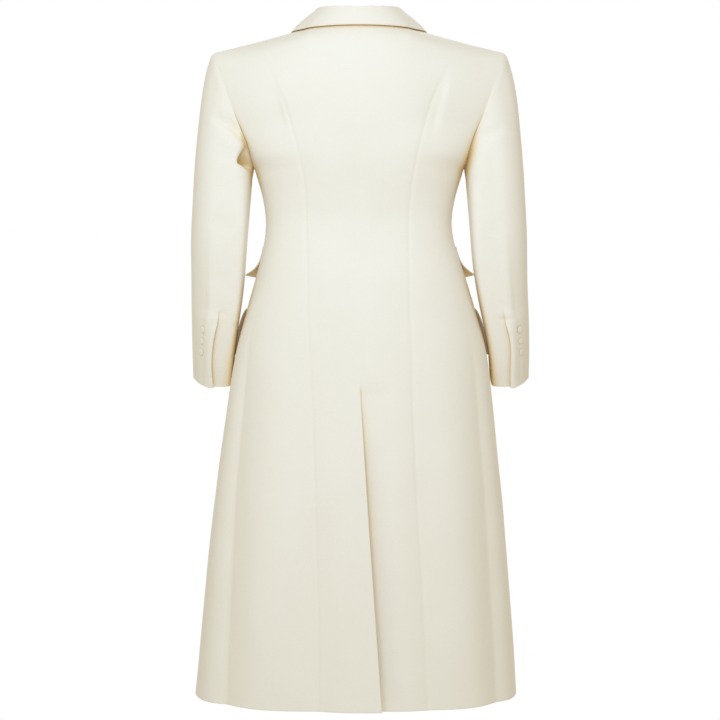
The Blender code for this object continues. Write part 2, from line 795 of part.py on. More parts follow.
def make_flaps(cloth):
    """Each flap is the front's own points, moved out more and more towards its lower edge."""
    for side, tag in ((LEFT, "L"), (RIGHT, "R")):
        for flap in FLAPS:
            outside, inside = [], []
            for i in range(FLAP_ROWS + 1):
                down = i / FLAP_ROWS
                level = mix(flap.top, flap.bottom, down)
                row_out, row_in = [], []
                for j in range(FLAP_COLUMNS + 1):
                    place = mix(flap.rear, flap.fore, j / FLAP_COLUMNS)
                    normal = body_normal(side, FRONT, place, level)
                    flare = mix(1.0, FLAP_FORE_SHARE, j / FLAP_COLUMNS) * down**FLAP_FLARE
                    off = FLAP_SEAT + flap.stand_off * flare
                    seat = body_point(side, FRONT, place, level) + normal * off
                    row_out.append(seat + normal * WALL)
                    row_in.append(seat)
                outside.append(row_out)
                inside.append(row_in)
            add_wall(f"flap_{flap.name}_{tag}", np.array(outside), np.array(inside), cloth)


def add_button(name, seat, out, radius, height, material):
    """A domed covered button: a turned profile set on the cloth, with its axis along out."""
    work = bmesh.new()
    ring = [
        work.verts.new((turn.radius * radius * MM, 0.0, turn.height * height * MM))
        for turn in BUTTON_PROFILE
    ]
    edges = [work.edges.new(pair) for pair in zip(ring, ring[1:])]
    bmesh.ops.spin(
        work,
        geom=ring + edges,
        cent=(0, 0, 0),
        axis=(0, 0, 1),
        angle=math.tau,
        steps=BUTTON_SIDES,
        use_duplicate=False,
    )
    bmesh.ops.remove_doubles(work, verts=work.verts, dist=0.00001)
    bmesh.ops.recalc_face_normals(work, faces=work.faces)
    mesh = bpy.data.meshes.new(name)
    work.to_mesh(mesh)
    work.free()
    mesh.shade_smooth()
    mesh.materials.append(material)
    obj = bpy.data.objects.new(name, mesh)
    obj.location = seat * MM
    obj.rotation_mode = "QUATERNION"
    obj.rotation_quaternion = Vector(out).to_track_quat("Z", "Y")
    bpy.context.scene.collection.objects.link(obj)
    return obj


def make_buttons(material):
    """Three buttons close the right front; three sit beside each cuff's vent."""
    for number, place in enumerate(FRONT_BUTTONS, 1):
        seat = body_point(RIGHT, FRONT, 0.0, place.level)
        normal = body_normal(RIGHT, FRONT, 0.0, place.level)
        add_button(
            f"button_front_{number}",
            seat + normal * place.seat,
            normal,
            FRONT_BUTTON_RADIUS,
            FRONT_BUTTON_HEIGHT,
            material,
        )
    for side, tag in ((LEFT, "L"), (RIGHT, "R")):
        across = np.array((side, 1.0, 1.0))
        for number, place in enumerate(CUFF_BUTTONS, 1):
            along = along_arm(place.level)
            turn = upper_edge(along) - CUFF_BUTTON_INSET
            normal = sleeve_normal(turn, along)
            seat = sleeve_point(turn, along) + normal * (CUFF_VENT_LIFT + place.seat)
            add_button(
                f"button_cuff_{tag}{number}",
                worn(side, seat),
                normal * across,
                CUFF_BUTTON_RADIUS,
                CUFF_BUTTON_HEIGHT,
                material,
            )


def main():
    clear_scene()
    cloth = make_material(*IVORY_CLOTH)
    button = make_material(*IVORY_BUTTON)
    make_body(cloth)
    make_lapels(cloth)
    make_collar(cloth)
    make_sleeves(cloth)
    make_flaps(cloth)
    make_buttons(button)


main()
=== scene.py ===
"""Ivory long coat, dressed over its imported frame.

The file is laid out as an add-on: sizes and colours are properties, each group of like pieces is an
operator, and so is the stage. The wearer faces -Y, their left is +X and +Z is up. Tables and surface
functions are in millimetres, as a cutter would write them; meshes are made in metres.
"""

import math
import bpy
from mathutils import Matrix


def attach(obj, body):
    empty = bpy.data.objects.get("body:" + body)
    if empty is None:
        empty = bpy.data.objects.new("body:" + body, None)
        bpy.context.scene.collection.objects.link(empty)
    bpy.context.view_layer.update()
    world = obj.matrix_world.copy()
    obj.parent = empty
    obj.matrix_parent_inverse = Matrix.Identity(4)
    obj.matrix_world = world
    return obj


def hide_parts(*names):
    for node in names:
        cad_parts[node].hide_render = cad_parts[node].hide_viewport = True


bl_info = {
    "name": "Ivory long coat",
    "version": (1, 0, 0),
    "blender": (4, 5, 0),
    "location": "3D View > Sidebar > Coat",
    "description": "Makes the cloth pieces, buttons and studio of a long tailored coat",
    "category": "Add Mesh",
}

from collections import namedtuple
from functools import partial

import bpy
import numpy as np
from mathutils import Vector
from mathutils.bvhtree import BVHTree

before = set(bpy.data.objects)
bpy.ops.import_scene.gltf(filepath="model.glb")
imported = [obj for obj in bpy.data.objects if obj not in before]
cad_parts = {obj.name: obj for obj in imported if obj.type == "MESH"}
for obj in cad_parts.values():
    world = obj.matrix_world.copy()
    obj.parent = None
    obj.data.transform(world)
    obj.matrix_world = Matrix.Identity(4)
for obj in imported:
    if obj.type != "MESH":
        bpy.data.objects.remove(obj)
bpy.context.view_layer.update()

MM = 0.001
LEFT, RIGHT = 1, -1
BACK, FRONT = 1, -1
SIDES = ((LEFT, "L"), (RIGHT, "R"))

# Landmarks of the body, as heights
HEM = -1050.0
VENT_TOP = -572.0
UNDERARM = -218.0
SHOULDER_TIP = -30.0
NECK_POINT = 10.0
NECK_BACK = 6.0
NECK_FRONT = -40.0

# Half widths across the shoulders and the neck, and how hollow the shoulder seam is
TIP_HALF_WIDTH = 229.0
NECK_HALF_WIDTH = 78.0
SHOULDER_HOLLOW = 1.5

# Outline of a level ring: 2 is an ellipse, more is squarer; above the underarm the body's corners
# straighten over a share of the rise
BODY_SQUARENESS, CORNER_RISE = 2.3, 0.35
SLEEVE_SQUARENESS, RING_BLEND = 2.15, 20.0

# The armhole's half depth and the shape of its curve, the roundness of the shoulder's ridge, and how
# softly the cloth runs into the neckline
ARMHOLE_HALF_DEPTH, ARMHOLE_LEAN, ARMHOLE_FULLNESS = 50.0, 0.8, 0.7
RIDGE_FULLNESS, RIDGE_ROUNDNESS = 5.0, 1.6
NECK_SOFTENING, NECK_SOFTENING_RISE = 0.9, 0.14

# How far a layer lies below the one that laps over it
LAYER_DROP = 2.9

# The level where the seams begin to show below the shoulders, and how soon; and how much shows of the
# seams over the shoulder, of the centre-back seam, of the sleeve's back seam, and of the armhole at the
# shoulder, below it and, from a level down, by the underarm
PRESSED_ABOVE, PRESSED_FADE, PRESSED_SEAM_SHOWS = -62.0, 80.0, 0.08
CENTRE_SEAM_SHOWS, BACK_SEAM_SHOWS = 0.12, 0.15
HEAD_SEAM_SHOWS, ARMHOLE_SEAM_SHOWS = 0.03, 0.35
LOW_ARMHOLE, LOW_ARMHOLE_FADE, LOW_ARMHOLE_SEAM_SHOWS = -125.0, 30.0, 1.7

# Front closing, right over left: the lap and the ramp of the cloth under it, the break where the right
# lapel starts, the gorge where lapels and collar meet, and where the left lapel starts, clear of the
# right front's edge
FRONT_LAP, FRONT_LAP_RAMP = 22.0, 30.0
BREAK_LEVEL, BREAK_GAP = -215.0, 2.0
GORGE_LEVEL, GORGE_HALF_GAP = -72.0, 2.0
UNDER_LAPEL_LEVEL, UNDER_LAPEL_CLEARANCE = -190.5, 0.8

# Back vent, left over right: the right edge is tucked in, with a hollow beside the left edge
VENT_LAP_HEM = 39.0
VENT_UNDERLAP, VENT_UNDERLAP_RAMP = 26.0, 30.0
VENT_KICK = 10.0
VENT_TUCK, VENT_TUCK_RAMP = 6.0, 12.0
VENT_REACH = 70.0
VENT_HOLLOW, VENT_HOLLOW_WIDTH, VENT_HOLLOW_SOON = 4.0, 22.0, 3

# In degrees: the sleeve's front seam and the cuff vent's underlap, round the sleeve from its outer side
# through the back, and how far the cuff tips forward. In millimetres: the vent's top, its lift and the
# lengths over which lift and underlap begin
FRONT_SEAM, CUFF_UNDERLAP, CUFF_PITCH = 250.0, 14.0, 19.0
CUFF_VENT_TOP, CUFF_VENT_LIFT = -450.0, 3.2
CUFF_VENT_RAMP, CUFF_UNDERLAP_RAMP = 18.0, 9.0

# The hip pushes the right sleeve out and flattens it a little, more and more between two levels
HIP_PUSH_TOP, HIP_PUSH_BOTTOM = -330.0, -520.0
RIGHT_PUSH, RIGHT_FLATTENING, RIGHT_SLEEVE_CENTRE = 7.5, 0.03, 231.0

# A level of the body: half width at the side or armhole, depths behind and before the side line,
# and how far the worn coat sways to the wearer's left
Section = namedtuple("Section", "level half_width back front sway")
BODY = (
    Section(-1050, 255.5, 194, 176, 5.0),
    Section(-900, 243.5, 180, 164, 3.0),
    Section(-750, 229.5, 163, 150, 1.0),
    Section(-600, 212.0, 144, 134, -1.8),
    Section(-506, 199.0, 132, 120, -3.5),
    Section(-442, 182.5, 121, 113, -3.0),
    Section(-393, 168.0, 110, 107, -2.5),
    Section(-346, 154.5, 94, 101, -1.0),
    Section(-306, 148.5, 85, 98, 0.0),
    Section(-266, 153.0, 88, 110, 0.0),
    Section(-218, 167.0, 97, 125, 0.0),
    Section(-180, 179.0, 100, 121, 0.0),
    Section(-133, 198.0, 101, 109, 0.0),
    Section(-92, 212.0, 97, 92, 0.0),
    Section(-58, 222.0, 88, 74, 0.0),
    Section(-30, 229.0, 72, 56, 0.0),
)

# Where the princess seams cross a level, from the centre line
Seam = namedtuple("Seam", "level back_left back_right front")
SEAMS = (
    Seam(-1050, 57, 112, 128),
    Seam(-900, 61, 104, 116),
    Seam(-690, 70, 89, 99),
    Seam(-476, 82, 77, 84),
    Seam(-306, 83, 78, 72),
    Seam(-240, 86, 84, 84),
    Seam(-195, 97, 94, 98),
    Seam(-142, 114, 111, 117),
    Seam(-88, 138, 135, 138),
    Seam(-30, 165, 165, 165),
)

# A soft flute of the skirt: where it lies at its top and at the hem (0 centre line, 1 side seam), and
# how far it spreads towards the centre and towards the side; 2 is soft and 1 is pressed to a line
Fold = namedtuple("Fold", "side face top_place hem_place top depth inward outward softness")
FOLDS = (
    Fold(LEFT, BACK, 0.24, 0.115, -470, -6.0, 0.07, 0.09, 2.0),
    Fold(RIGHT, BACK, 0.225, 0.255, -470, -6.0, 0.07, 0.09, 2.0),
    Fold(LEFT, BACK, 0.70, 0.57, -430, -9.0, 0.12, 0.045, 1.15),
    Fold(RIGHT, BACK, 0.66, 0.65, -430, -6.0, 0.10, 0.06, 1.4),
    Fold(LEFT, BACK, 0.81, 0.69, -430, 3.0, 0.09, 0.12, 2.0),
    Fold(RIGHT, BACK, 0.77, 0.76, -430, 1.5, 0.08, 0.10, 2.0),
    Fold(LEFT, BACK, 0.43, 0.36, -450, 4.0, 0.12, 0.12, 2.0),
    Fold(RIGHT, BACK, 0.45, 0.44, -450, 4.0, 0.12, 0.12, 2.0),
    Fold(LEFT, FRONT, 0.34, 0.36, -450, -6.0, 0.09, 0.09, 2.0),
    Fold(RIGHT, FRONT, 0.34, 0.36, -450, -6.0, 0.09, 0.09, 2.0),
    Fold(LEFT, FRONT, 0.70, 0.66, -450, -6.0, 0.12, 0.05, 2.0),
    Fold(RIGHT, FRONT, 0.71, 0.64, -450, -7.0, 0.12, 0.05, 2.0),
)

# A fold deepens in two stages, one soon below its top and one further down: the first one's share, and
# how soon each is done
FOLD_FIRST_SHARE, FOLD_FIRST_SOON, FOLD_SECOND_SOON = 0.45, 4, 1.2

# A crease on the back or a sleeve: a straight soft trough (or ridge, if positive) seen
# from behind, with its width on its upper or inner side and on the other
Crease = namedtuple("Crease", "piece x0 z0 x1 z1 depth near far")
CREASES = (
    Crease("sleeve_L", 230, -140, 186, -164, -5.0, 13, 6),
    Crease("sleeve_L", 214, -172, 182, -186, 4.0, 8, 16),
    Crease("sleeve_L", 188, -204, 168, -214, -25.0, 15, 6),
    Crease("sleeve_L", 236, -300, 196, -318, -1.4, 14, 14),
    Crease("sleeve_L", 240, -392, 204, -400, -1.2, 12, 12),
    Crease("sleeve_L", 226, -452, 212, -445, -1.3, 3, 4),
    Crease("sleeve_R", -226, -152, -190, -176, -2.0, 10, 10),
    Crease("sleeve_R", -238, -306, -200, -322, -1.2, 14, 14),
    Crease("sleeve_R", -222, -456, -246, -457, -1.6, 3, 4),
    Crease("sleeve_R", -216, -448, -240, -448, 0.9, 5, 5),
    Crease("back_R", -134, -78, -116, -160, -3.2, 7, 22),
    Crease("back_L", 136, -92, 118, -160, -2.2, 7, 22),
    Crease("back_L", 100, -285, 20, -300, -0.8, 14, 14),
    Crease("back_R", -100, -288, -20, -300, -0.8, 14, 14),
)

# At each end a crease fades over a share of its length, and at the end itself it has come this far
CREASE_FADE, CREASE_END = 0.35, 0.4

# Slow waves of worn cloth: two ripples multiplied, each with the lengths along x, y and z over which it
# turns by one radian (a negative one runs the other way) and its phase
Ripple = namedtuple("Ripple", "x y z phase")
Wave = namedtuple("Wave", "share first second")
ENDLESS = math.inf
WAVES = (
    Wave(0.65, Ripple(31, ENDLESS, 88, 1.3), Ripple(ENDLESS, -41, 57, 0.4)),
    Wave(0.35, Ripple(17, 21, 49, 0.7), Ripple(-27, ENDLESS, 33, 0.0)),
)

# Distances from a body panel's top, the armhole and the cuff over which the waves begin, and from the
# armhole over which the sleeve's creases do
CALM_TOP, CALM_ARMHOLE, CALM_CUFF, CREASE_FREE = 60.0, 40.0, 60.0, 14.0

# A level of the sleeve below the underarm: its centre and its half sizes, and how square its back is
# towards the body and away from it
Ring = namedtuple("Ring", "level x y half_width half_depth inner outer")
SLEEVE = (
    Ring(-550, 236.5, -46, 32.5, 44, 9.0, 1.4),
    Ring(-500, 233.5, -28, 35.0, 47, 9.0, 1.4),
    Ring(-420, 227.0, -7, 41.0, 51, 9.0, 1.55),
    Ring(-330, 223.0, 3, 45.0, 55, 8.0, 1.8),
    Ring(-234, 217.5, -2, 46.5, 60, 4.0, 2.0),
)
CUFF_LEVEL, BEND_LEVEL, ARM_LEVEL = SLEEVE[0].level, SLEEVE[3].level, SLEEVE[4].level

# Where the upper sleeve ends at the back, at the seam and below it at the vent's edge: how far out
# from the middle of the ring, as a share of its half width
CuffEdge = namedtuple("CuffEdge", "level left right")
CUFF_EDGES = (
    CuffEdge(-550, -0.12, -0.04),
    CuffEdge(-535, -0.06, -0.05),
    CuffEdge(-515, 0.00, -0.02),
    CuffEdge(-486, -0.02, 0.02),
    CuffEdge(-468, -0.08, -0.02),
    CuffEdge(-452, -0.15, -0.10),
    CuffEdge(-400, -0.16, -0.12),
    CuffEdge(-234, -0.16, -0.16),
)

# How wide the lapel is from its roll line, and its height over the front there and at its edge
LAPEL_SEAT, LAPEL_SPRING = 1.1, 3.2
Lapel = namedtuple("Lapel", "level width")
LAPELS = (
    Lapel(-215, 5),
    Lapel(-180, 30),
    Lapel(-150, 45),
    Lapel(-131, 54.6),
    Lapel(-119, 57.8),
    Lapel(-100, 62),
    Lapel(-74, 66),
)

# A pocket flap on the front: its levels, its ends (0 centre line, 1 side seam), how far it stands off
# at its lower edge, and how late it begins to
Flap = namedtuple("Flap", "name top bottom rear fore stand_off flare")
FLAPS = (
    Flap("upper", -340, -391, 0.95, 0.30, 19.0, 3.8),
    Flap("lower", -440, -514, 0.95, 0.32, 11.0, 0.6),
)

# The collar's stand: depth of the neck seam, heights at the back, the side and the gorge, how far it
# sits inside the roll line and how soon, and how far over the seam its cloth begins
NECK_DEPTH = 72.0
STAND_BACK, STAND_SIDE, STAND_END = 23.0, 26.0, 5.0
STAND_INSET, STAND_INSET_SOON, STAND_RISE = 2.8, 3, 1.5

# The collar's fold: half sizes, its round turn (at most a share of the stand) and crown, and how it
# leans from the neck seam at the shoulder and at the gorge
FOLD_HALF_WIDTH, FOLD_DEPTH = 68.0, 77.0
FOLD_TURN, FOLD_TURN_SHARE, FOLD_CROWN = 4.0, 0.4, 1.0
FOLD_LEAN_SHOULDER = (FOLD_HALF_WIDTH - NECK_HALF_WIDTH, -2.0, STAND_SIDE)
FOLD_LEAN_GORGE = (-1.0, -3.0, STAND_END)

# The collar's fall: half sizes and height of its edge, its end at the gorge, how far off the cloth it
# lies (less at the shoulder) and how soon that changes, its fullness, how soon it settles on the front
# and how late its edge rises to the shoulder, and how nearly it follows the back, up to the shoulder
FALL_HALF_WIDTH, FALL_DEPTH, FALL_HEIGHT = 108.0, 85.0, -0.5
FALL_END_X, FALL_END_LEVEL = 100.0, -68.0
FALL_SEAT, FALL_SEAT_SIDE, FALL_SEAT_SOON = 3.2, 1.2, 2
FALL_FULLNESS, FALL_SETTLES_SOON, FALL_RISES_LATE = 1.5, 1.5, 3
FALL_LIES, FALL_LIES_FADE = 0.85, 16.0

# Buttons: radius and height, and where each sits with its distance from the curve of the cloth
FRONT_BUTTON_RADIUS, FRONT_BUTTON_HEIGHT = 12.5, 6.0
CUFF_BUTTON_RADIUS, CUFF_BUTTON_HEIGHT = 5.6, 1.1
CUFF_BUTTON_INSET = 24.0
ButtonPlace = namedtuple("ButtonPlace", "level seat")
FRONT_BUTTONS = (
    ButtonPlace(-238, 0.3),
    ButtonPlace(-306, 2.0),
    ButtonPlace(-374, 0.7),
)
CUFF_BUTTONS = (
    ButtonPlace(-464, 0.8),
    ButtonPlace(-481, 0.3),
    ButtonPlace(-498, 0.3),
)

# The cut of each piece as it lies flat on the table: greatest width and length, and its area
Cut = namedtuple("Cut", "piece width length area")

# Mesh steps: distances of the columns or rows by an edge, how many lie between, and how much closer the
# rows get towards the shoulder line and the armhole
EDGE_STEPS = (0.0, 0.6, 1.3, 2.3, 3.8, 6.0, 9.5)
CENTRE_COLUMNS, FRONT_COLUMNS, SIDE_COLUMNS = 26, 32, 60
BODY_ROW_STEP, SHOULDER_ROWS, SHOULDER_CROWDING = 9.0, 36, 1.7
CAP_ROWS, CAP_CROWDING = 44, 1.5
ARM_ROWS, VENT_RAMP_ROWS, ROW_GAP = 60, 13, 2.0
UPPER_COLUMNS, UNDER_COLUMNS = 60, 48
SAMPLES = 61

# Share of half the wall that a turned edge draws in, and the angle from which an edge is drawn sharp
TURNED_SHARE, SHARP_ANGLE = 0.85, 50.0


# Colour


def linear(code):
    """Linear red, green and blue of an sRGB hex colour."""
    shares = (int(code[i : i + 2], 16) / 255 for i in (0, 2, 4))
    return tuple(c / 12.92 if c <= 0.04045 else ((c + 0.055) / 1.055) ** 2.4 for c in shares)


# Properties


class CoatSizes(bpy.types.PropertyGroup):
    """Sizes of the cloth and its seams."""

    wall: bpy.props.FloatProperty(
        name="Cloth wall",
        description="Thickness of the coating with its fused interlining",
        default=0.0022,
        min=0.001,
        max=0.004,
        unit="LENGTH",
    )
    seam_depth: bpy.props.FloatProperty(
        name="Seam depth",
        description="How far the cloth rolls in where two panels are sewn together",
        default=0.0008,
        min=0.0,
        max=0.003,
        unit="LENGTH",
    )
    seam_width: bpy.props.FloatProperty(
        name="Seam width",
        description="How far from the stitching the cloth starts to roll in",
        default=0.0034,
        min=0.0005,
        max=0.01,
        unit="LENGTH",
    )
    unevenness: bpy.props.FloatProperty(
        name="Unevenness",
        description="Height of the slow waves that worn cloth has between its seams",
        default=0.0007,
        min=0.0,
        max=0.003,
        unit="LENGTH",
    )
    crease_share: bpy.props.FloatProperty(
        name="Creases",
        description="Share of each hand-placed crease's depth",
        default=1.0,
        min=0.0,
        max=2.0,
        subtype="FACTOR",
    )


class CoatColours(bpy.types.PropertyGroup):
    """Colours of the cloth and the studio."""

    cloth: bpy.props.FloatVectorProperty(
        name="Coating",
        description="Ivory of the wool crepe",
        default=linear("F4EEDF"),
        min=0.0,
        max=1.0,
        subtype="COLOR",
    )
    cloth_shade: bpy.props.FloatVectorProperty(
        name="Coating, deeper",
        description="Slightly deeper ivory of the yarns between",
        default=linear("EEE6D2"),
        min=0.0,
        max=1.0,
        subtype="COLOR",
    )
    # Partly the reverse's own cream and partly painted shade: warmer than the face, so that insides seen
    # in gaps read warm
    reverse: bpy.props.FloatVectorProperty(
        name="Reverse",
        description="Warmer cream of the coating's reverse",
        default=linear("EEE2C6"),
        min=0.0,
        max=1.0,
        subtype="COLOR",
    )
    reverse_shade: bpy.props.FloatVectorProperty(
        name="Reverse, deeper",
        description="Slightly deeper cream of the reverse's yarns between",
        default=linear("E6D7B6"),
        min=0.0,
        max=1.0,
        subtype="COLOR",
    )
    # Painted shade: the gold that the coating's colour is mixed towards where another layer is close
    crevice_painted_shade: bpy.props.FloatVectorProperty(
        name="Crevice",
        description="Gold of the coating deep between two layers",
        default=linear("EACE90"),
        min=0.0,
        max=1.0,
        subtype="COLOR",
    )
    # Painted shade: the same gold for the reverse, where it is closed in
    reverse_crevice_painted_shade: bpy.props.FloatVectorProperty(
        name="Reverse, crevice",
        description="Gold of the reverse where it is closed in",
        default=linear("ECD6A8"),
        min=0.0,
        max=1.0,
        subtype="COLOR",
    )
    floor: bpy.props.FloatVectorProperty(
        name="Floor",
        description="Matt white studio floor",
        default=linear("F4F1EA"),
        min=0.0,
        max=1.0,
        subtype="COLOR",
    )


class StudioSettings(bpy.types.PropertyGroup):
    """Camera, floor and light of the stage."""

    camera_distance: bpy.props.FloatProperty(
        name="Camera distance",
        description="From the side line of the coat to the camera behind it",
        default=3.0,
        min=1.0,
        max=10.0,
        unit="LENGTH",
    )
    camera_height: bpy.props.FloatProperty(
        name="Camera height",
        description="Height of the camera against the neck points",
        default=-0.522,
        unit="LENGTH",
    )
    camera_aside: bpy.props.FloatProperty(
        name="Camera aside",
        description="How far the camera stands to the wearer's left",
        default=-0.0016,
        unit="LENGTH",
    )
    focal_length: bpy.props.FloatProperty(
        name="Focal length",
        description="Lens for a 36 mm wide picture",
        default=93.75,
        min=10.0,
        max=300.0,
        unit="CAMERA",
    )
    floor_drop: bpy.props.FloatProperty(
        name="Floor below hem",
        description="How far the worn coat's hem is above the floor",
        default=0.35,
        min=0.0,
        unit="LENGTH",
    )
    floor_radius: bpy.props.FloatProperty(
        name="Floor radius",
        description="Radius of the round studio floor",
        default=1.35,
        min=0.5,
        unit="LENGTH",
    )
    key_power: bpy.props.FloatProperty(
        name="Key light",
        description="Power of the large soft light above the camera",
        default=18.6,
        min=0.0,
        unit="POWER",
    )
    fill_power: bpy.props.FloatProperty(
        name="Fill light",
        description="Power of the soft light on the far side, for the fronts",
        default=14.0,
        min=0.0,
        unit="POWER",
    )
    room_light: bpy.props.FloatProperty(
        name="Room light",
        description="Brightness of the white room around the coat",
        default=0.59,
        min=0.0,
    )


# Small helpers


def ease(value):
    """0 below 0, 1 above 1, and a smooth step between."""
    value = np.clip(value, 0.0, 1.0)
    return value * value * (3 - 2 * value)


def mix(first, second, share):
    return first + (second - first) * share


def unit(vectors):
    return vectors / np.linalg.norm(vectors, axis=-1, keepdims=True)


def hermite(start, end, leave, arrive, q):
    """Cubic between two values with given slopes."""
    return (
        start * (1 + 2 * q) * (1 - q) ** 2
        + leave * q * (1 - q) ** 2
        + end * q * q * (3 - 2 * q)
        + arrive * q * q * (q - 1)
    )


def curve(table, column, level):
    """Smooth value of a table's column at each level, through all its rows."""
    keys = np.array([row.level for row in table], float)
    values = np.array([getattr(row, column) for row in table], float)
    level = np.clip(level, keys[0], keys[-1])
    low = np.clip(np.searchsorted(keys, level, side="right") - 1, 0, len(keys) - 2)
    slope = np.empty(len(keys))
    slope[1:-1] = (values[2:] - values[:-2]) / (keys[2:] - keys[:-2])
    slope[0] = (values[1] - values[0]) / (keys[1] - keys[0])
    slope[-1] = (values[-1] - values[-2]) / (keys[-1] - keys[-2])
    step = keys[low + 1] - keys[low]
    q = (level - keys[low]) / step
    return hermite(values[low], values[low + 1], slope[low] * step, slope[low + 1] * step, q)


def row_lengths(points):
    """Distance along each row of a grid of points, from its first column."""
    steps = np.linalg.norm(np.diff(points, axis=1), axis=2)
    return np.concatenate([np.zeros((len(points), 1)), np.cumsum(steps, axis=1)], axis=1)


def column_lengths(points):
    """Distance along each column of a grid of points, from its first row."""
    return row_lengths(points.transpose(1, 0, 2)).T


def spread_columns(widths, middle):
    """Distances across rows of the given widths: close together by both edges, even between."""
    edge = np.array(EDGE_STEPS)
    start = np.broadcast_to(edge, (len(widths), len(edge)))
    between = np.linspace(0, 1, middle + 2)[1:-1]
    centre = edge[-1] + (widths[:, None] - 2 * edge[-1]) * between
    return np.concatenate([start, centre, widths[:, None] - edge[::-1]], axis=1)


def settle_columns(surface, first, last, level, middle):
    """Places across each row of a surface, spread by true distance, with their distances from the
    two edges."""
    places = mix(first[:, None], last[:, None], np.linspace(0, 1, SAMPLES))
    run = row_lengths(surface(places, level[:, None]))
    across = spread_columns(run[:, -1], middle)
    settled = np.array([np.interp(d, r, p) for d, r, p in zip(across, run, places)])
    return settled, across, run[:, -1:] - across


# Body surface


def rise(level):
    """How far a level is from the underarm (0) to the shoulder line (1)."""
    return np.clip((level - UNDERARM) / (SHOULDER_TIP - UNDERARM), 0.0, 1.0)


def top_height(face, x):
    """Height of the neckline or the shoulder seam at a distance from the centre line."""
    x = np.abs(x)
    share = (x - NECK_HALF_WIDTH) / (TIP_HALF_WIDTH - NECK_HALF_WIDTH)
    shoulder = mix(NECK_POINT, SHOULDER_TIP, share) - SHOULDER_HOLLOW * np.sin(np.pi * share)
    centre = NECK_BACK if face == BACK else NECK_FRONT
    neckline = mix(centre, NECK_POINT, (x / NECK_HALF_WIDTH) ** 2)
    return np.where(x > NECK_HALF_WIDTH, shoulder, neckline)


def flutes(side, face, place, level):
    """How far the skirt's flutes move the cloth out at a place."""
    total = np.zeros(np.broadcast(place, level).shape)
    for fold in FOLDS:
        if (fold.side, fold.face) != (side, face):
            continue
        down = (fold.top - level) / (fold.top - HEM)
        line = mix(fold.top_place, fold.hem_place, down)
        reach = np.where(place > line, fold.outward, fold.inward)
        first, second = ease(down * FOLD_FIRST_SOON), ease(down * FOLD_SECOND_SOON)
        depth = fold.depth * mix(second, first, FOLD_FIRST_SHARE)
        aside = np.abs(place - line) / reach
        total = total + depth * np.exp(-(aside**fold.softness))
    return total


def body_surface(side, face, place, level):
    """Points of the coat's outside. Place runs from the centre line (0) to the side seam or armhole
    (1), and is negative past the centre line."""
    place, level = np.broadcast_arrays(np.asarray(place, float), np.asarray(level, float))
    half_width = curve(BODY, "half_width", level)
    depth = curve(BODY, "back" if face == BACK else "front", level)
    share = np.abs(np.sin(place * np.pi / 2)) ** (2 / BODY_SQUARENESS)
    x = half_width * share
    up = rise(level)
    corner = mix(BODY_SQUARENESS, 1.0, ease(up / CORNER_RISE))
    round_side = np.maximum(0.0, 1 - share**BODY_SQUARENESS) ** (1 / corner)
    ridge = np.maximum(0.0, 1 - up**RIDGE_FULLNESS) ** (1 / RIDGE_ROUNDNESS)
    inside_neck = 1 - (x / NECK_HALF_WIDTH) ** 2
    soften = NECK_SOFTENING * ease((1 - up) / NECK_SOFTENING_RISE)
    neck = np.sqrt(np.maximum(0.0, inside_neck + np.hypot(inside_neck, soften)) / 2)
    arch = np.maximum(0.0, np.sin(np.pi * up**ARMHOLE_LEAN)) ** ARMHOLE_FULLNESS
    y = mix(ARMHOLE_HALF_DEPTH * arch, depth, mix(neck, round_side, ridge))
    z = np.where(up == 0, level, mix(UNDERARM, top_height(face, x), up))
    grow = 1 + flutes(side, face, place, level) / np.hypot(x, y)
    sway = curve(BODY, "sway", level)
    return np.stack((side * np.copysign(x, place) * grow + sway, face * y * grow, z), axis=-1)


def body_normal(side, face, place, level):
    """Unit normals of the outside, the same on both panels that meet at a seam."""
    place, level = np.broadcast_arrays(np.asarray(place, float), np.asarray(level, float))
    d_place, d_level = 2e-3, 0.5
    across = body_surface(side, face, np.minimum(place + d_place, 1.0), level)
    across = across - body_surface(side, face, place - d_place, level)
    along = body_surface(side, face, place, np.minimum(level + d_level, SHOULDER_TIP))
    along = along - body_surface(side, face, place, np.maximum(level - d_level, HEM))
    at_side = (place >= 1) & (level <= UNDERARM)
    across[at_side] = (0.0, -face, 0.0)
    normal = unit(np.cross(along, across)) * side * face
    x = body_surface(side, face, place, level)[..., 0]
    slope = (top_height(face, np.abs(x) - 1) - top_height(face, np.abs(x) + 1)) / 2
    shoulder = unit(np.stack((np.copysign(slope, x), np.zeros_like(x), np.ones_like(x)), axis=-1))
    on_seam = (level >= SHOULDER_TIP) & (np.abs(x) >= NECK_HALF_WIDTH - 1e-6)
    normal[on_seam] = shoulder[on_seam]
    return normal


def place_of(x, level):
    """The places on levels that lie x from the centre line."""
    share = np.minimum(1.0, np.abs(x) / curve(BODY, "half_width", level))
    return np.copysign(2 / np.pi * np.arcsin(share ** (BODY_SQUARENESS / 2)), x)


def from_centre(side, points, level):
    """Distance of points from the centre line, towards their own side."""
    return side * (points[..., 0] - curve(BODY, "sway", level))


def body_levels():
    """Levels of the rows from the hem to the shoulder line, close together at both."""
    hem = HEM + np.array(EDGE_STEPS)
    count = int((UNDERARM - hem[-1]) / BODY_ROW_STEP)
    below = np.linspace(hem[-1], UNDERARM, count + 1)[1:]
    up = 1 - (1 - np.arange(1, SHOULDER_ROWS + 1) / SHOULDER_ROWS) ** SHOULDER_CROWDING
    return np.concatenate([hem, below, mix(UNDERARM, SHOULDER_TIP, up)])


# Edges of the panels, as distances from the centre line


def vent_drop(level):
    """0 at the top of the back vent and 1 at the hem."""
    return np.maximum(0.0, (VENT_TOP - level) / (VENT_TOP - HEM))


def back_edge(side, level):
    """Centre-back seam, and below it the vent's overlap (left) and underlap (right)."""
    if side == LEFT:
        return -VENT_LAP_HEM * vent_drop(level)
    return -VENT_UNDERLAP * ease((VENT_TOP - level) / VENT_UNDERLAP_RAMP)


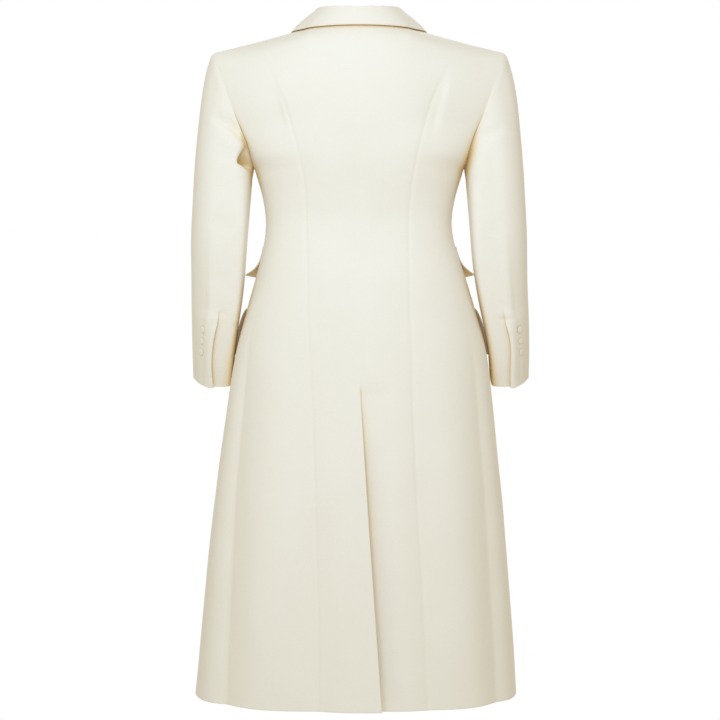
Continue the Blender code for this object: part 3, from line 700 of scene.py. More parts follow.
def front_edge(level):
    """Front edge, and above the break the roll line up to the neck point."""
    up = (level - BREAK_LEVEL) / (SHOULDER_TIP - BREAK_LEVEL)
    return mix(-FRONT_LAP, NECK_HALF_WIDTH, np.maximum(0.0, up))


def back_seam(side, level):
    return curve(SEAMS, "back_left" if side == LEFT else "back_right", level)


def back_lift(side, x, level):
    """The vent's edges: the left one kicks out, the right one is tucked under it."""
    if side == LEFT:
        return VENT_KICK * ease(1 - x / VENT_REACH) * vent_drop(level)
    aside = x - VENT_LAP_HEM * vent_drop(level)
    under = LAYER_DROP * ease((VENT_TOP + VENT_TUCK_RAMP - level) / VENT_TUCK_RAMP)
    tuck = ease(1 - aside / VENT_REACH) * (under + VENT_TUCK * vent_drop(level))
    hollow = VENT_HOLLOW * ease(vent_drop(level) * VENT_HOLLOW_SOON)
    return -tuck - hollow * np.exp(-((aside / VENT_HOLLOW_WIDTH) ** 2))


def front_lift(side, x):
    """The left front passes under the right one."""
    if side == RIGHT:
        return np.zeros_like(x)
    return -LAYER_DROP * ease((FRONT_LAP + FRONT_LAP_RAMP - x) / FRONT_LAP_RAMP)


# Small relief of the cloth


def slow_waves(points):
    """Slow waves of worn cloth, between -1 and 1."""
    total = np.zeros(points.shape[:-1])
    for wave in WAVES:
        height = wave.share
        for ripple in (wave.first, wave.second):
            turn = points @ (1 / np.array((ripple.x, ripple.y, ripple.z)))
            height = height * np.sin(turn + ripple.phase)
        total = total + height
    return total


def creases(piece, points):
    """Depth of the listed creases of a piece, from each point's place seen from behind."""
    total = np.zeros(points.shape[:-1])
    for crease in CREASES:
        if crease.piece != piece:
            continue
        start = np.array((crease.x0, crease.z0), float)
        line = np.array((crease.x1, crease.z1), float) - start
        length = np.linalg.norm(line)
        offset = points[..., [0, 2]] - start
        along = offset @ line / length**2
        aside = (offset[..., 0] * line[1] - offset[..., 1] * line[0]) / length
        width = np.where(aside > 0, crease.near, crease.far)
        fade = ease(along / CREASE_FADE + CREASE_END) * ease((1 - along) / CREASE_FADE + CREASE_END)
        total = total + crease.depth * fade * np.exp(-((aside / width) ** 2))
    return total


def seam_roll(sizes, distance):
    """How far the cloth rolls in by a sewn edge."""
    return -sizes.seam_depth / MM * np.exp(-((distance * MM / sizes.seam_width) ** 2))


def turned_edge(sizes, *distances):
    """How far each face draws in at a free edge, which makes the edge round."""
    radius = sizes.wall / MM / 2
    total = 0.0
    for distance in distances:
        over = np.clip(1 - distance / radius, 0.0, 1.0)
        total = np.maximum(total, TURNED_SHARE * radius * (1 - np.sqrt(1 - over**2)))
    return total


def pressed_flat(level):
    """How much of a princess seam shows: it is pressed flat over the shoulder."""
    return mix(PRESSED_SEAM_SHOWS, 1.0, ease((PRESSED_ABOVE - level) / PRESSED_FADE))


def above_vent(level):
    """How much of the centre-back seam shows: little, and nothing where the vent is open."""
    return np.where(level > VENT_TOP, CENTRE_SEAM_SHOWS, 0.0)


def armhole_seam(level):
    """How much of the side seam and the armhole shows: little at the shoulder, most at the underarm."""
    shows = mix(HEAD_SEAM_SHOWS, ARMHOLE_SEAM_SHOWS, ease((PRESSED_ABOVE - level) / PRESSED_FADE))
    low = ease((LOW_ARMHOLE - level) / LOW_ARMHOLE_FADE)
    low = low * ease(1 - (UNDERARM - level) / LOW_ARMHOLE_FADE)
    return mix(shows, LOW_ARMHOLE_SEAM_SHOWS, low)


# Meshes


def add_mesh(name, points, faces, *materials):
    """A smooth mesh object in metres."""
    mesh = bpy.data.meshes.new(name)
    mesh.from_pydata((points * MM).tolist(), [], faces)
    mesh.shade_smooth()
    for material in materials:
        mesh.materials.append(material)
    obj = bpy.data.objects.new(name, mesh)
    bpy.context.scene.collection.objects.link(obj)
    return obj


def add_cloth(name, outside, inside):
    """A closed cloth wall between two grids of points of the same size, facing out."""
    rows, columns = outside.shape[:2]
    count = rows * columns
    points = np.concatenate([outside.reshape(-1, 3), inside.reshape(-1, 3)])
    index = np.arange(count).reshape(rows, columns)
    ring = (index[:-1, :-1], index[:-1, 1:], index[1:, 1:], index[1:, :-1])
    skin = np.stack(ring, axis=-1).reshape(-1, 4)
    reverse = skin[:, ::-1] + count
    border = np.concatenate(
        [index[0, :-1], index[:-1, -1], index[-1, :0:-1], index[:0:-1, 0]]
    )
    onward = np.roll(border, -1)
    rim = np.stack([onward, border, border + count, onward + count], axis=-1)
    faces = np.concatenate([skin, reverse, rim])
    corner = points[faces]
    volume = np.einsum("ij,ij->", corner[:, 0], np.cross(corner[:, 1], corner[:, 2]))
    volume += np.einsum("ij,ij->", corner[:, 0], np.cross(corner[:, 2], corner[:, 3]))
    if volume < 0:
        faces = faces[:, ::-1]
    colours = bpy.context.scene.coat_colours
    crepes = (wool_crepe(colours), wool_crepe_reverse(colours))
    obj = add_mesh(name, points, faces.tolist(), *crepes)
    obj.data.set_sharp_from_angle(angle=math.radians(SHARP_ANGLE))
    on_inside = np.zeros(len(faces), int)
    on_inside[len(skin) : len(skin) + len(reverse)] = 1
    obj.data.polygons.foreach_set("material_index", on_inside)
    return obj


def fit_piece(obj, node):
    """Puts a piece in place of its solid, on the coat's one body."""
    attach(obj, "root")
    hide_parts(node)


def make_piece(node, grids):
    """A cloth piece in place of its solid."""
    obj = add_cloth(f"cloth_{node}", *grids)
    fit_piece(obj, node)


# Materials


def add_node(material, kind, inputs=None, **settings):
    """Adds a node with its settings; an input is a value or another node's output."""
    tree = material.node_tree
    node = tree.nodes.new(kind)
    for name, value in settings.items():
        setattr(node, name, value)
    for name, value in (inputs or {}).items():
        if isinstance(value, bpy.types.NodeSocket):
            tree.links.new(value, node.inputs[name])
        else:
            node.inputs[name].default_value = value
    return node


def new_material(name):
    material = bpy.data.materials.new(name)
    material.use_nodes = True
    material.node_tree.nodes.clear()
    return material


# The colour of the fibres' bloom, and the strength of a painted glow on the reverse face: an emission
# that stands in for light coming through one layer
FIBRE_BLOOM, REVERSE_PAINTED_GLOW = "FFFDF8", 0.07


def wool_crepe(colours):
    """Wool crepe coating: hard-twisted yarns, woven and pressed. The eye sees a matt, faintly pebbled
    ivory with a soft bloom of fibre at its edges and slightly deeper yarns among the pale ones; between
    layers that nearly touch its colour carries a painted gold shade."""
    return crepe("Ivory wool crepe", colours.cloth, colours.cloth_shade, colours.crevice_painted_shade)


def wool_crepe_reverse(colours):
    """The crepe's reverse, on the inside faces. Its warmer cream is partly its own colour and partly
    painted shade, so that insides seen in gaps read warm; between two layers where little light gets in
    it carries a deeper painted gold shade, and all over it carries a faint painted glow."""
    shades = (colours.reverse, colours.reverse_shade, colours.reverse_crevice_painted_shade)
    return crepe("Ivory wool crepe, reverse", *shades, REVERSE_PAINTED_GLOW)


def crepe(name, pale, deep, crevice_painted_shade, glow=0.0):
    """The grain of a crepe weave in two close shades of one yarn, with a painted gold shade in its
    crevices and a painted glow of the given strength.
    """
    if name in bpy.data.materials:
        return bpy.data.materials[name]
    material = new_material(name)
    place = add_node(material, "ShaderNodeTexCoord").outputs["Object"]
    # Real crepe grain is about 0.6 mm; it is drawn at 1.3 mm so that it shows.
    grain_mm, slub_mm, drift_mm, relief_mm = 1.3, 5.0, 70.0, 0.4
    # A slub is longer than it is high; it and the slow drift decide how deep the yarn's shade is.
    slub_length, slub_share, drift_share, paler = 5.0, 0.55, 0.5, -0.05
    slub_height = 0.5
    grain = add_node(
        material,
        "ShaderNodeTexNoise",
        {"Vector": place, "Scale": 1000 / grain_mm, "Detail": 2.0, "Roughness": 0.6},
    )
    stretched = add_node(
        material, "ShaderNodeMapping", {"Vector": place, "Scale": (1.0, 1.0, slub_length)}
    )
    slub = add_node(
        material,
        "ShaderNodeTexNoise",
        {"Vector": stretched.outputs["Vector"], "Scale": 1000 / slub_mm, "Detail": 1.0},
    )
    drift = add_node(
        material, "ShaderNodeTexNoise", {"Vector": place, "Scale": 1000 / drift_mm, "Detail": 2.0}
    )
    yarn = add_node(
        material,
        "ShaderNodeMath",
        {0: slub.outputs["Fac"], 1: slub_share, 2: paler},
        operation="MULTIPLY_ADD",
    )
    deeper = add_node(
        material,
        "ShaderNodeMath",
        {0: drift.outputs["Fac"], 1: drift_share, 2: yarn.outputs["Value"]},
        operation="MULTIPLY_ADD",
        use_clamp=True,
    )
    colour = add_node(
        material,
        "ShaderNodeMix",
        {0: deeper.outputs["Value"], 6: (*pale, 1.0), 7: (*deep, 1.0)},
        data_type="RGBA",
    )
    # Painted shade: where ambient occlusion finds another layer close by, the colour is mixed towards
    # a gold, standing in for the warm shade that light takes on between layers that nearly touch.
    painted_shade_reach_mm = 22.0
    around = add_node(
        material, "ShaderNodeAmbientOcclusion", {"Distance": painted_shade_reach_mm * MM}, samples=6
    )
    painted_shade_share = add_node(
        material,
        "ShaderNodeMapRange",
        {"Value": around.outputs["AO"], "From Min": 0.95, "From Max": 0.2},
    )
    colour = add_node(
        material,
        "ShaderNodeMix",
        {0: painted_shade_share.outputs["Result"], 6: colour.outputs[2], 7: (*crevice_painted_shade, 1.0)},
        data_type="RGBA",
    )
    rough = add_node(
        material,
        "ShaderNodeMapRange",
        {"Value": grain.outputs["Fac"], "To Min": 0.78, "To Max": 0.92},
    )
    height = add_node(
        material,
        "ShaderNodeMath",
        {0: slub.outputs["Fac"], 1: slub_height, 2: grain.outputs["Fac"]},
        operation="MULTIPLY_ADD",
    )
    bump = add_node(
        material,
        "ShaderNodeBump",
        {"Height": height.outputs["Value"], "Strength": 0.3, "Distance": relief_mm * MM},
    )
    cloth = add_node(
        material,
        "ShaderNodeBsdfPrincipled",
        {
            "Base Color": colour.outputs[2],
            "Roughness": rough.outputs["Result"],
            "Normal": bump.outputs["Normal"],
            "IOR": 1.45,
            "Specular IOR Level": 0.25,
            "Sheen Weight": 0.18,
            "Sheen Roughness": 0.45,
            "Sheen Tint": (*linear(FIBRE_BLOOM), 1.0),
            # Painted glow: an emission in the pale colour, standing in for what comes through a single
            # layer from the lit side
            "Emission Color": (*pale, 1.0),
            "Emission Strength": glow,
        },
    )
    add_node(material, "ShaderNodeOutputMaterial", {"Surface": cloth.outputs["BSDF"]})
    return material


def painted_floor(colours):
    """Matt emulsion on a studio floor, rolled on. The eye sees an even white with a faint stipple."""
    name = "Matt white floor paint"
    if name in bpy.data.materials:
        return bpy.data.materials[name]
    material = new_material(name)
    place = add_node(material, "ShaderNodeTexCoord").outputs["Object"]
    stipple_mm, relief_mm = 3.0, 0.5
    stipple = add_node(
        material, "ShaderNodeTexNoise", {"Vector": place, "Scale": 1000 / stipple_mm, "Detail": 1.0}
    )
    bump = add_node(
        material,
        "ShaderNodeBump",
        {"Height": stipple.outputs["Fac"], "Strength": 0.08, "Distance": relief_mm * MM},
    )
    paint = add_node(
        material,
        "ShaderNodeBsdfPrincipled",
        {
            "Base Color": (*colours.floor, 1.0),
            "Roughness": 0.85,
            "Normal": bump.outputs["Normal"],
        },
    )
    add_node(material, "ShaderNodeOutputMaterial", {"Surface": paint.outputs["BSDF"]})
    return material


# Body panels


def body_panel(side, face, first, last, lift, middle, sizes, seams, creased=None):
    """Outside and inside grids of a body panel between two edges. Seams gives the edges that are
    sewn (start, end and top), with how much of the seam shows at a level; the rest are turned edges,
    and so is the hem."""
    level = body_levels()
    surface = partial(body_surface, side, face)
    place, to_start, to_end = settle_columns(surface, first(level), last(level), level, middle)
    level = level[:, None]
    points = surface(place, level)
    normal = body_normal(side, face, place, level)
    run = column_lengths(points)
    distances = {"start": to_start, "end": to_end, "top": run[-1] - run, "hem": run}
    height = lift(from_centre(side, points, level), level)
    round_off = turned_edge(sizes, distances["hem"])
    for edge in ("start", "end", "top"):
        show = seams[edge](level) if edge in seams else np.zeros_like(level)
        height = height + show * seam_roll(sizes, distances[edge])
        turned = np.where(show == 0, turned_edge(sizes, distances[edge]), 0.0)
        round_off = np.maximum(round_off, turned)
    calm = ease(distances["top"] / CALM_TOP)
    height = height + sizes.unevenness / MM * slow_waves(points) * calm
    if creased:
        height = height + sizes.crease_share * creases(creased, points)
    outside = points + normal * (height - round_off)[..., None]
    inside = points + normal * (height - sizes.wall / MM + round_off)[..., None]
    return outside, inside


class COAT_OT_back(bpy.types.Operator):
    """Makes the centre-back and back side panels, with the lapped vent"""

    bl_idname = "coat.make_back"
    bl_label = "Back panels"

    def execute(self, context):
        sizes = context.scene.coat_sizes
        for side, tag in SIDES:
            lift = partial(back_lift, side)
            centre = body_panel(
                side,
                BACK,
                lambda level: place_of(back_edge(side, level), level),
                lambda level: place_of(back_seam(side, level), level),
                lift,
                CENTRE_COLUMNS,
                sizes,
                {"start": above_vent, "end": pressed_flat, "top": pressed_flat},
                f"back_{tag}",
            )
            outer = body_panel(
                side,
                BACK,
                lambda level: place_of(back_seam(side, level), level),
                np.ones_like,
                lift,
                SIDE_COLUMNS,
                sizes,
                {"start": pressed_flat, "end": armhole_seam, "top": pressed_flat},
                f"back_{tag}",
            )
            for kind, grids in (("back_centre", centre), ("back_side", outer)):
                make_piece(f"{kind}_{tag}", grids)
        return {"FINISHED"}


class COAT_OT_fronts(bpy.types.Operator):
    """Makes the fronts and the front side panels, right over left"""

    bl_idname = "coat.make_fronts"
    bl_label = "Front panels"

    def execute(self, context):
        sizes = context.scene.coat_sizes
        for side, tag in SIDES:
            front = body_panel(
                side,
                FRONT,
                lambda level: place_of(front_edge(level), level),
                lambda level: place_of(curve(SEAMS, "front", level), level),
                lambda x, level: front_lift(side, x),
                FRONT_COLUMNS,
                sizes,
                {"end": pressed_flat, "top": pressed_flat},
            )
            outer = body_panel(
                side,
                FRONT,
                lambda level: place_of(curve(SEAMS, "front", level), level),
                np.ones_like,
                lambda x, level: np.zeros_like(x),
                SIDE_COLUMNS,
                sizes,
                {"start": pressed_flat, "end": armhole_seam, "top": pressed_flat},
            )
            for kind, grids in (("front", front), ("front_side", outer)):
                make_piece(f"{kind}_{tag}", grids)
        return {"FINISHED"}


# Lapels and collar

LAPEL_ROWS, LAPEL_COLUMNS = 48, 16

# How far from the roll line the lapel starts, the width of its rolled edge and how far that draws in,
# and the width below which its columns move closer together
LAPEL_INSET, LAPEL_ROLL, LAPEL_ROLL_DEPTH = 0.6, 3.0, 1.4
LAPEL_NARROW = 2.2 * EDGE_STEPS[-1]


def lapel_grids(side, lowest, sizes):
    """A lapel: its front's own surface from the roll line to its edge, moved out; the left one
    ends at the right front's edge."""
    level = np.linspace(lowest, GORGE_LEVEL - GORGE_HALF_GAP, LAPEL_ROWS)
    roll_line = front_edge(level) + LAPEL_INSET
    start = roll_line
    if side == LEFT:
        start = np.maximum(roll_line, -front_edge(level) + UNDER_LAPEL_CLEARANCE)
    width = roll_line + curve(LAPELS, "width", level) - start
    room = np.maximum(width, LAPEL_NARROW)
    across = spread_columns(room, LAPEL_COLUMNS) * (width / room)[:, None]
    x = start[:, None] + across
    level = level[:, None]
    place = place_of(x, level)
    normal = body_normal(side, FRONT, place, level)
    share = across / width[:, None]
    seat = front_lift(side, x) + mix(LAPEL_SEAT, LAPEL_SPRING, share)
    points = body_surface(side, FRONT, place, level)
    run = column_lengths(points)
    edges = turned_edge(sizes, width[:, None] - across, run, run[-1] - run)
    over = np.clip(1 - across / LAPEL_ROLL, 0.0, 1.0)
    roll = LAPEL_ROLL_DEPTH * (1 - np.sqrt(1 - over**2))
    outside = points + normal * (seat + sizes.wall / MM - edges - roll)[..., None]
    inside = points + normal * (seat + edges)[..., None]
    return outside, inside


class COAT_OT_lapels(bpy.types.Operator):
    """Makes the two notched lapels"""

    bl_idname = "coat.make_lapels"
    bl_label = "Lapels"

    def execute(self, context):
        for side, tag in SIDES:
            lowest = UNDER_LAPEL_LEVEL if side == LEFT else BREAK_LEVEL + BREAK_GAP
            grids = lapel_grids(side, lowest, context.scene.coat_sizes)
            make_piece(f"lapel_{tag}", grids)
        return {"FINISHED"}


COLLAR_BACK_STATIONS, COLLAR_FRONT_STATIONS, COLLAR_POINTS = 30, 20, 34

Stand = namedtuple("Stand", "seam fold middle edge")


def over_front(x, level, height):
    """A point of the left front moved out."""
    place = place_of(x, level)
    normal = body_normal(LEFT, FRONT, place, level)
    return body_surface(LEFT, FRONT, place, level) + normal * height


def over_back(x, height, off):
    """A point of the left back at a height, moved out."""
    up = (height - UNDERARM) / (float(top_height(BACK, x)) - UNDERARM)
    level = mix(UNDERARM, SHOULDER_TIP, min(up, 1.0))
    place = place_of(x, level)
    return body_surface(LEFT, BACK, place, level) + body_normal(LEFT, BACK, place, level) * off


def collar_back_station(turn):
    """Neck seam, fold and fall edge at an angle from the centre back (0) to the shoulder (90)."""
    sin, cos = math.sin(math.radians(turn)), math.cos(math.radians(turn))
    side = sin * sin
    seam = np.array((NECK_HALF_WIDTH * sin, NECK_DEPTH * cos, mix(NECK_BACK, NECK_POINT, side)))
    fold_height = mix(NECK_BACK + STAND_BACK, NECK_POINT + STAND_SIDE, side)
    fold = np.array((FOLD_HALF_WIDTH * sin, FOLD_DEPTH * cos, fold_height))
    off = mix(FALL_SEAT, FALL_SEAT_SIDE, side)
    shoulder = float(top_height(BACK, FALL_HALF_WIDTH)) + off
    edge_height = mix(FALL_HEIGHT, shoulder, side**FALL_RISES_LATE)
    edge = np.array((FALL_HALF_WIDTH * sin, FALL_DEPTH * cos, edge_height))
    lies = FALL_LIES * ease((90 - turn) / FALL_LIES_FADE)
    edge = mix(edge, over_back(edge[0], edge_height, off), lies)
    middle = mix(fold, edge, 0.5) + np.array((0.0, 0.0, FALL_FULLNESS))
    return Stand(seam, fold, middle, edge)


def collar_front_station(down):
    """The same from the shoulder (0) down the roll line to the gorge (1)."""
    level = mix(SHOULDER_TIP, GORGE_LEVEL + GORGE_HALF_GAP, down)
    inset = STAND_INSET * ease(down * STAND_INSET_SOON)
    seam = body_surface(LEFT, FRONT, place_of(front_edge(level) - inset, level), level)
    fold = seam + mix(np.array(FOLD_LEAN_SHOULDER), np.array(FOLD_LEAN_GORGE), down)
    edge_x = mix(FALL_HALF_WIDTH, FALL_END_X, down)
    edge_level = mix(SHOULDER_TIP, FALL_END_LEVEL, down)
    off = mix(FALL_SEAT_SIDE, FALL_SEAT, ease(down * FALL_SEAT_SOON))
    edge = over_front(edge_x, edge_level, off)
    hanging = mix(fold, edge, 0.5) + np.array((0.0, 0.0, FALL_FULLNESS))
    half_way = mix(front_edge(level), edge_x, 0.5)
    lying = over_front(half_way, mix(level, edge_level, 0.5), FALL_SEAT + FALL_FULLNESS)
    return Stand(seam, fold, mix(hanging, lying, ease(down * FALL_SETTLES_SOON)), edge)


def collar_line(station):
    """Middle of the folded cloth, from the neck seam over the fold to the fall's edge."""
    up = unit(station.fold - station.seam)
    down = unit(station.middle - station.fold)
    seat = station.seam + up * STAND_RISE
    turn = min(FOLD_TURN, FOLD_TURN_SHARE * np.linalg.norm(station.fold - station.seam))
    return [
        seat,
        mix(seat, station.fold, 0.5),
        station.fold - up * turn,
        station.fold + np.array((0.0, 0.0, FOLD_CROWN)),
        station.fold + down * turn,
        station.middle,
        station.edge,
    ]


def through(points, count):
    """A smooth line of evenly spread points through each row of a grid."""
    ends = (2 * points[:, :1] - points[:, 1:2], points, 2 * points[:, -1:] - points[:, -2:-1])
    padded = np.concatenate(ends, axis=1)
    slope = (padded[:, 2:] - padded[:, :-2]) / 2
    run = row_lengths(points)
    lines = []
    for row, tangent, lengths in zip(points, slope, run):
        at = np.interp(np.linspace(0, lengths[-1], count), lengths, np.arange(len(row)))
        low = np.minimum(at.astype(int), len(row) - 2)
        q = (at - low)[:, None]
        lines.append(hermite(row[low], row[low + 1], tangent[low], tangent[low + 1], q))
    return np.array(lines)


def grid_normals(grid):
    return unit(np.cross(np.gradient(grid, axis=0), np.gradient(grid, axis=1)))


class COAT_OT_collar(bpy.types.Operator):
    """Makes the turned-down collar in one folded piece"""

    bl_idname = "coat.make_collar"
    bl_label = "Collar"

    def execute(self, context):
        sizes = context.scene.coat_sizes
        turns = np.linspace(0, 90, COLLAR_BACK_STATIONS, endpoint=False)
        half = [collar_back_station(turn) for turn in turns]
        half += [collar_front_station(down) for down in np.linspace(0, 1, COLLAR_FRONT_STATIONS)]
        lines = np.array([collar_line(station) for station in half])
        lines = np.concatenate([lines[:0:-1] * np.array((-1.0, 1.0, 1.0)), lines])
        grid = through(lines, COLLAR_POINTS)
        normal = grid_normals(grid)
        across, along = row_lengths(grid), column_lengths(grid)
        edges = turned_edge(sizes, across[:, -1:] - across, along, along[-1] - along)
        half_wall = (sizes.wall / MM / 2 - edges)[..., None]
        grids = (grid + normal * half_wall, grid - normal * half_wall)
        make_piece("collar", grids)
        return {"FINISHED"}


# Sleeves, worked out for the left arm: how far the cap is let into the armhole, how its curve leaves it
# and runs into the arm, and the level above which it goes on smoothly from the shoulder, whose direction
# is read at a place just before the armhole

ARMHOLE_OVERLAP = 0.3
CAP_OUTWARD, CAP_LEAVE, CAP_LEAN, CAP_ARRIVE = 0.75, 0.32, 0.06, 0.95
CAP_SMOOTH_FROM, CAP_SMOOTH_RISE, BEFORE_ARMHOLE = -120.0, 60.0, 0.98


def armhole_normal():
    """Direction out of the armhole, away from the body."""
    rise_x = TIP_HALF_WIDTH - float(curve(BODY, "half_width", UNDERARM))
    return unit(np.array((SHOULDER_TIP - UNDERARM, 0.0, -rise_x)))


def armhole_edge(turn, place=1.0):
    """The armhole's edge, or a line beside it, by degrees from the shoulder tip through the back."""
    level = mix(UNDERARM, SHOULDER_TIP, (1 + np.cos(np.radians(turn))) / 2)
    behind = body_surface(LEFT, BACK, place, level)
    before = body_surface(LEFT, FRONT, place, level)
    return np.where((turn % 360 <= 180)[..., None], behind, before)


def back_squareness(out, level):
    """How square the back of a sleeve's ring is, outward or towards the body."""
    return np.where(out > 0, curve(SLEEVE, "outer", level), curve(SLEEVE, "inner", level))


def arm_surface(turn, level):
    """The sleeve's outside below the underarm; its rings tip forward with the forearm."""
    cos, sin = np.cos(np.radians(turn)), np.sin(np.radians(turn))
    corner = np.where(sin > 0, back_squareness(cos, level), SLEEVE_SQUARENESS)
    from_axis = 45 - np.abs(turn % 90 - 45)
    square = mix(SLEEVE_SQUARENESS, corner, ease(from_axis / RING_BLEND))
    across = np.abs(cos) / curve(SLEEVE, "half_width", level)
    deep = np.abs(sin) / curve(SLEEVE, "half_depth", level)
    reach = (across**square + deep**square) ** (-1 / square)
    out, behind = reach * cos, reach * sin
    bend = ease((BEND_LEVEL - level) / (BEND_LEVEL - CUFF_LEVEL))
    drop = math.tan(math.radians(CUFF_PITCH)) * bend * behind
    x, y = curve(SLEEVE, "x", level), curve(SLEEVE, "y", level)
    return np.stack((x + out, y + behind, level - drop), axis=-1)


def cap_surface(turn, down):
    """The sleeve cap's outside, from the armhole (0) to the first ring of the arm (1)."""
    start = armhole_edge(turn) - armhole_normal() * ARMHOLE_OVERLAP
    end = arm_surface(turn, np.full_like(turn, ARM_LEVEL))
    span = np.linalg.norm(end - start, axis=-1, keepdims=True)
    outward = mix(unit(end - start), armhole_normal(), CAP_OUTWARD)
    onward = unit(armhole_edge(turn) - armhole_edge(turn, BEFORE_ARMHOLE))
    smooth = ease((start[..., 2:] - CAP_SMOOTH_FROM) / CAP_SMOOTH_RISE)
    leave = unit(mix(outward, onward, smooth)) * span * CAP_LEAVE
    arrive = unit(np.array((CAP_LEAN, 0.0, -1.0))) * span * CAP_ARRIVE
    return hermite(start, end, leave, arrive, down[..., None])


def arm_level(along):
    """The level of a place along the sleeve, the first ring's over the cap."""
    return mix(ARM_LEVEL, CUFF_LEVEL, np.maximum(0.0, along - 1))


def arm_place(level):
    """The place along the sleeve of a level of the arm."""
    return 1 + (level - ARM_LEVEL) / (CUFF_LEVEL - ARM_LEVEL)


def sleeve_surface(turn, along):
    """The sleeve's outside: along runs over the cap (0 to 1), then down the arm (1 to 2)."""
    turn, along = np.broadcast_arrays(np.asarray(turn, float), np.asarray(along, float))
    cap = cap_surface(turn, np.minimum(along, 1.0))
    arm = arm_surface(turn, arm_level(along))
    return np.where((along <= 1)[..., None], cap, arm)


def sleeve_normal(turn, along):
    turn, along = np.broadcast_arrays(np.asarray(turn, float), np.asarray(along, float))
    d_turn, d_along = 1.0, 0.01
    down = sleeve_surface(turn, np.minimum(along + d_along, 2.0))
    down = down - sleeve_surface(turn, np.maximum(along - d_along, 0.0))
    across = sleeve_surface(turn + d_turn, along) - sleeve_surface(turn - d_turn, along)
    normal = -unit(np.cross(across, down))
    towards_body = np.maximum(0.0, normal @ armhole_normal())
    seamed = unit(normal - towards_body[..., None] * armhole_normal())
    return np.where((along == 0)[..., None], seamed, normal)


def upper_edge(side, along):
    """Where the upper sleeve ends at the back, in degrees round the sleeve."""
    level = arm_level(along)
    out = curve(CUFF_EDGES, "left" if side == LEFT else "right", level)
    behind = (1 - out**2) ** 0.5 * curve(SLEEVE, "half_depth", level)
    return np.degrees(np.arctan2(behind, out * curve(SLEEVE, "half_width", level)))


def under_edge(side, along):
    """Where the under sleeve begins: at the seam, and below it under the upper sleeve."""
    lap = CUFF_UNDERLAP * ease((CUFF_VENT_TOP - arm_level(along)) / CUFF_UNDERLAP_RAMP)
    return upper_edge(side, along) - lap


def below(top, along):
    """0 down to a level of the arm, then 1 after a short ramp."""
    return ease((top - arm_level(along)) / CUFF_VENT_RAMP)


def sleeve_rows():
    """Places along the sleeve, close together at the armhole, the vent's top and the cuff."""
    cap = np.linspace(0, 1, CAP_ROWS, endpoint=False) ** CAP_CROWDING
    levels = np.linspace(ARM_LEVEL, CUFF_LEVEL + EDGE_STEPS[-1], ARM_ROWS)
    ramp_top, ramp_end = CUFF_VENT_TOP + CUFF_VENT_RAMP, CUFF_VENT_TOP - CUFF_VENT_RAMP
    ramp = np.linspace(ramp_top, ramp_end, VENT_RAMP_ROWS)
    cuff = CUFF_LEVEL + np.array(EDGE_STEPS[:-1])
    outside_ramp = (levels > ramp_top + ROW_GAP) | (levels < ramp_end - ROW_GAP)
    levels = np.sort(np.concatenate([levels[outside_ramp], ramp, cuff]))[::-1]
    return np.concatenate([cap, arm_place(levels)])


# Small forms of the sleeve: fullness of its head by the armhole, the share of the upper half from which
# the vent's lift begins, and the vent's flat flange, which stands up from the sleeve over a short rise
SLEEVE_HEAD, SLEEVE_HEAD_AT, SLEEVE_HEAD_WIDTH = 0.7, 10.0, 8.0
VENT_LIFT_FROM, VENT_LIFT_RISE = 0.6, 0.3
VENT_FLANGE, VENT_FLANGE_WIDTH, VENT_FLANGE_RISE = 2.6, 5.0, 4.5

# How far round a sleeve its head, its underside and its back are fully reached, as a cosine or sine
HEAD_REACHED, LOW_REACHED, BEHIND_REACHED = 0.7, 0.5, 0.5


def worn(side, points):
    """Points worked out for the left sleeve, on the side where they are worn."""
    points = points * np.array((side, 1.0, 1.0))
    if side == RIGHT:
        push = ease((HIP_PUSH_TOP - points[..., 2]) / (HIP_PUSH_TOP - HIP_PUSH_BOTTOM))
        flat = mix(points[..., 0], -RIGHT_SLEEVE_CENTRE, RIGHT_FLATTENING * push)
        points[..., 0] = flat - RIGHT_PUSH * push
    return points


